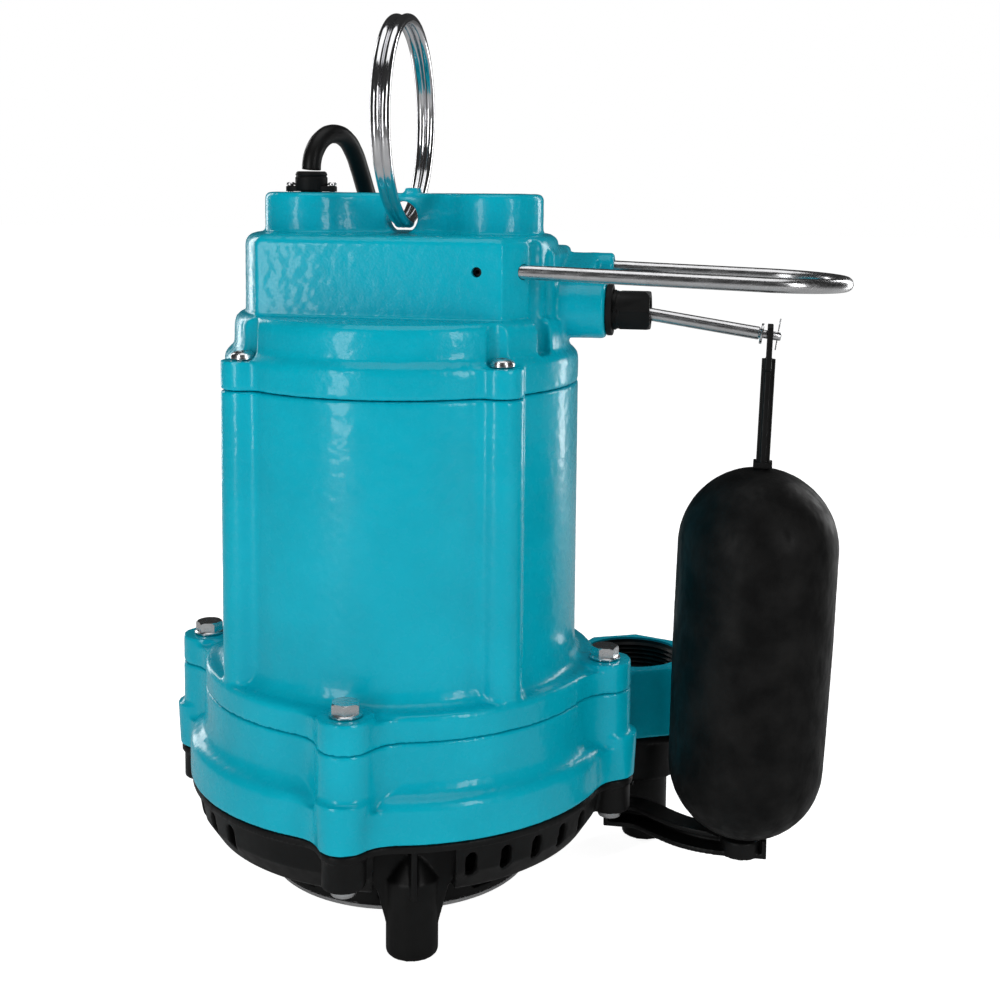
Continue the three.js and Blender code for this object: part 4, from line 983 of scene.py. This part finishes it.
def make_grip():
    x, y = GRIP
    seat = 320 + GAP
    shape = [*arc(x + 7.4, y, 4.6, -90, 90, 14), *arc(x - 7.4, y, 4.6, 90, 270, 14)]
    plate = cushion(shape, seat, seat + 2.6, 0.7)
    boot = lathe([(0, 306), (4.8, 306), (4.8, 321), (7.4, 321), (7.4, 326.6), (6.9, 327.2), (7.3, 327.9),
                  (6.9, 329), (6.2, 329.5), (0, 329.5)], 64, Matrix.Translation((x, y, 0)))
    holes = [post(1.7, seat - 1, seat + 4, x + side * GRIP_SCREW_AT, y, 24) for side in (-1, 1)]
    finish_piece(combined([plate, boot], holes), "cord_grip", sharp=30)
    for number, side in ((1, -1), (2, 1)):
        sx, low = x + side * GRIP_SCREW_AT, seat + 2.6 + GAP
        head = lathe([(0, low), (2.1, low), (2.1, low + 0.7), (1.5, low + 1.3), (0, low + 1.4)],
                     32, Matrix.Translation((sx, y, 0)))
        shank = post(1.3, low - 9, low + 0.5, sx, y, 20)
        made = combined([head, shank], cross_recess(sx, y, low + 1.5, 1, 1.1))
        finish_piece(made, f"grip_screw_{number}")


# Float guard, gland and lever -------------------------------------------------------------------


def make_guard():
    """A round bar bent into a long loop, which slopes down a little towards its end."""
    near, far, bend_x = 38, 56, 162.9
    line = [(near + (bend_x - near) * i / 12, -GUARD_HALF, GUARD_Z) for i in range(12)]
    line += [(x, y, GUARD_Z) for x, y in arc(bend_x, 0, GUARD_HALF, -90, 90, 36)]
    line += [(bend_x + (far - bend_x) * i / 12, GUARD_HALF, GUARD_Z) for i in range(1, 13)]
    finish_piece(sweep(line, GUARD_R, 32, GUARD_SLOPE), "float_guard")
    screw = bar_y(1.9, -43, -38.6, *SET_SCREW, 32)
    socket_at = Matrix.Translation((SET_SCREW[0], -43.5, SET_SCREW[1]))
    socket_at = socket_at @ Matrix.Rotation(math.radians(-90), 4, "X")
    socket = loft([(circle(1.0, 6), 0), (circle(1.0, 6), 3)], socket_at)
    finish_piece(combined([screw], [socket]), "guard_set_screw")


def make_gland():
    """Hexagon gland with a chamfered end and a groove behind its head."""
    at = along_x(0, 0, SWITCH_Z)
    flat = 8.3 / math.cos(math.radians(30))
    hexagon = loft([(circle(flat, 6, turn=30), z) for z in (96.9, 113.3)], at)
    corners = lathe([
        (0, 96.9), (9.1, 96.9), (9.7, 97.6), (9.7, 98.6), (8.6, 98.8), (8.6, 99.8), (9.7, 100),
        (9.7, 111.8), (8.4, 113.3), (0, 113.3),
    ], 64, at)
    hex_part = trimmed(hexagon, corners)
    barrel = bar_x(9, 84, 98, 0, SWITCH_Z)
    throat = bar_x(6.3, 90, 115, 0, SWITCH_Z)
    mouth = bar_x(7.6, 83, 93, 0, SWITCH_Z)
    finish_piece(combined([hex_part, barrel], [throat, mouth]), "switch_gland", sharp=28)
    washer = lathe([(9.4, 94.1), (11.3, 94.1), (11.6, 94.4), (11.6, 96.2), (11.3, 96.6), (9.4, 96.6)],
                   64, at)
    finish_piece(washer, "gland_washer")


LEVER_PIVOT = (100, 0, 269.3)
LEVER_AT = Matrix.Translation(LEVER_PIVOT) @ Matrix.Rotation(math.radians(8.6), 4, "Y") @ along_x()


def make_lever():
    rod = lathe([(0, -42), (2.3, -42), (2.9, -41.4), (2.9, 61.5), (2.5, 62), (1.9, 62.2), (1.9, 70.8),
                 (1.5, 71.4), (0, 71.4)], 48, LEVER_AT)
    hole_at = LEVER_AT @ Matrix.Translation((0, 0, 69.9)) @ Matrix.Rotation(math.radians(90), 4, "Y")
    hole = loft([(circle(0.95, 20), -4), (circle(0.95, 20), 4)], hole_at)
    finish_piece(combined([rod], [hole]), "switch_lever")
    reach = 5.7
    dome = arc(0, 0, reach, -58, 56, 19)
    ball = lathe([(3.2, dome[0][1]), *dome, (3.2, dome[-1][1])], 64, LEVER_AT)
    finish_piece(ball, "lever_ball", sharp=50)
    washer = lathe([(2.3, 62.3), (4.4, 62.3), (4.6, 62.5), (4.6, 63.3), (4.4, 63.5), (2.3, 63.5)],
                   48, LEVER_AT)
    finish_piece(washer, "lever_washer")
    make_cotter()


def make_cotter():
    """Split wire through the lever's tip, with a round eye and spread ends."""
    at = LEVER_AT @ Matrix.Translation((0, 0, 69.9))
    half = [(6.1, 0.32), (3.0, 0.32), (0.0, 0.32), (-3.6, 0.34), (-4.9, 1.2), (-6.1, 1.5), (-7.4, 0.9)]
    line = [(x, y, 0) for x, y in half] + [(-7.7, 0, 0)] + [(x, -y, 0) for x, y in reversed(half)]
    finish_piece(sweep(smooth_line(line, 6), 0.3, 12, at, 0.1), "cotter_pin")


# Float ------------------------------------------------------------------------------------------

EYE = (165.9, 259.3)
FLOAT_AT = about_y(EYE, 1.83)


def make_float_rod():
    """Flat head with a round hole, a cross-shaped bar and a flange with small fins."""
    x = EYE[0]
    head_outline = [(-4.6, 244), (4.6, 244), (4.6, 260), (3.6, 263), (1.5, 264.3), (-1.5, 264.3),
                    (-3.6, 263), (-4.6, 260)]
    at = FLOAT_AT @ along_x(x - 1.3) @ Matrix.Rotation(math.radians(90), 4, "Z")
    head = loft([(head_outline, 0), (head_outline, 2.6)], at)
    parts = [
        head, block((x - 3, x + 3), (-1.2, 1.2), (203, 249), FLOAT_AT),
        block((x - 1.2, x + 1.2), (-3.4, 3.4), (203, 245), FLOAT_AT),
        block((x - 4.2, x + 4.2), (-4.2, 4.2), (200.4, 203.2), FLOAT_AT),
    ]
    stem_at = FLOAT_AT @ Matrix.Translation((x, 0, 0))
    parts.append(loft([(circle(2.9, 32), 186), (circle(2.9, 32), 201)], stem_at))
    hole = bar_x(3, x - 6, x + 6, 0, EYE[1], 40, FLOAT_AT)
    made = combined(parts, (), 0.32, 2, 0.0, [hole])
    finish_piece(made, "float_rod")


def make_float():
    """Capsule whose wall widens slightly upwards from its bottom curve, with a socket under its rod."""
    low, high, radius = 31, 200, 35.5
    bottom = arc(0, low + radius - 1, radius - 1, -86, -2, 21)
    top = arc(0, high - radius, radius, 0, 84, 21)
    walls = [(radius - 0.8, 74), (radius - 0.5, 90), (radius - 0.2, 108), (radius, 128), (radius, 150)]
    profile = [(0, bottom[0][1]), *bottom, *walls, *top, (0, top[-1][1])]
    at = FLOAT_AT @ Matrix.Translation((EYE[0], 0, 0))
    socket = loft([(circle(3.5, 32), 184), (circle(3.5, 32), 204)], at)
    body = combined([lathe(profile, 128, at)], (), 1.3, 3, 0.3, [socket])
    finish_piece(body, "float")


make_cover()
make_housing()
make_volute()
make_liner()
make_base()
make_inlet_plate()
make_arm()
make_fasteners()
make_lifting_ring()
make_grip()
make_guard()
make_gland()
make_lever()
make_float_rod()
make_float()

# Stage ------------------------------------------------------------------------------------------


def make_floor():
    mesh = bpy.data.meshes.new("floor")
    mesh.from_pydata([(-9, -9, 0), (9, -9, 0), (9, 9, 0), (-9, 9, 0)], [], [(0, 1, 2, 3)])
    floor = bpy.data.objects.new("floor", mesh)
    bpy.context.scene.collection.objects.link(floor)
    floor.location.z = -0.0004
    n = Nodes("floor")
    n.surface(Base_Color=(0.6, 0.6, 0.6, 1), Roughness=0.8, Specular_IOR_Level=0.1)
    n.surface(Emission_Color=(1, 1, 1, 1), Emission_Strength=studio_glow(n.tree, 0.92, 0.45, 0.0))
    mesh.materials.append(n.material)


def make_light(name, azimuth, distance, height, size, power):
    """Softbox facing the pump, at an azimuth counted from the front towards the float."""
    x, y = polar(distance, azimuth - 90)
    data = bpy.data.lights.new(name, "AREA")
    data.shape = "RECTANGLE"
    data.size, data.size_y = size
    data.energy = power
    light = bpy.data.objects.new(name, data)
    bpy.context.scene.collection.objects.link(light)
    light.location = (x, y, height)
    light.rotation_euler = (Vector((0, 0, 0.2)) - light.location).to_track_quat("-Z", "Y").to_euler()


def studio_glow(tree, seen, cast, mirrored):
    """Strength of a white surround as looked at, as it lights the object, and in reflections."""
    path = tree.nodes.new("ShaderNodeLightPath")
    level = cast
    for ray, strength in (("Is Glossy Ray", mirrored), ("Is Camera Ray", seen)):
        pick = tree.nodes.new("ShaderNodeMapRange")
        if level is cast:
            pick.inputs["To Min"].default_value = cast
        else:
            tree.links.new(level, pick.inputs["To Min"])
        pick.inputs["To Max"].default_value = strength
        tree.links.new(path.outputs[ray], pick.inputs["Value"])
        level = pick.outputs["Result"]
    return level


def make_world():
    """A white room to look at, which lights the object more softly than it looks."""
    world = bpy.data.worlds.new("studio")
    world.use_nodes = True
    tree = world.node_tree
    background = tree.nodes["Background"]
    background.inputs["Color"].default_value = (1, 1, 1, 1)
    tree.links.new(studio_glow(tree, 1.0, 0.2, 0.03), background.inputs["Strength"])
    bpy.context.scene.world = world


make_floor()
make_world()
make_light("key", -27, 1.05, 0.42, (0.2, 0.8), 3.7)
make_light("front", 48, 1.2, 0.6, (0.2, 0.8), 4.2)
make_light("right_rim", 138, 1.0, 0.4, (0.16, 0.9), 3.5)
make_light("left_rim", -126, 1.0, 0.4, (0.16, 0.9), 2.2)
make_light("top", 0, 0.05, 1.3, (0.9, 0.9), 3.5)
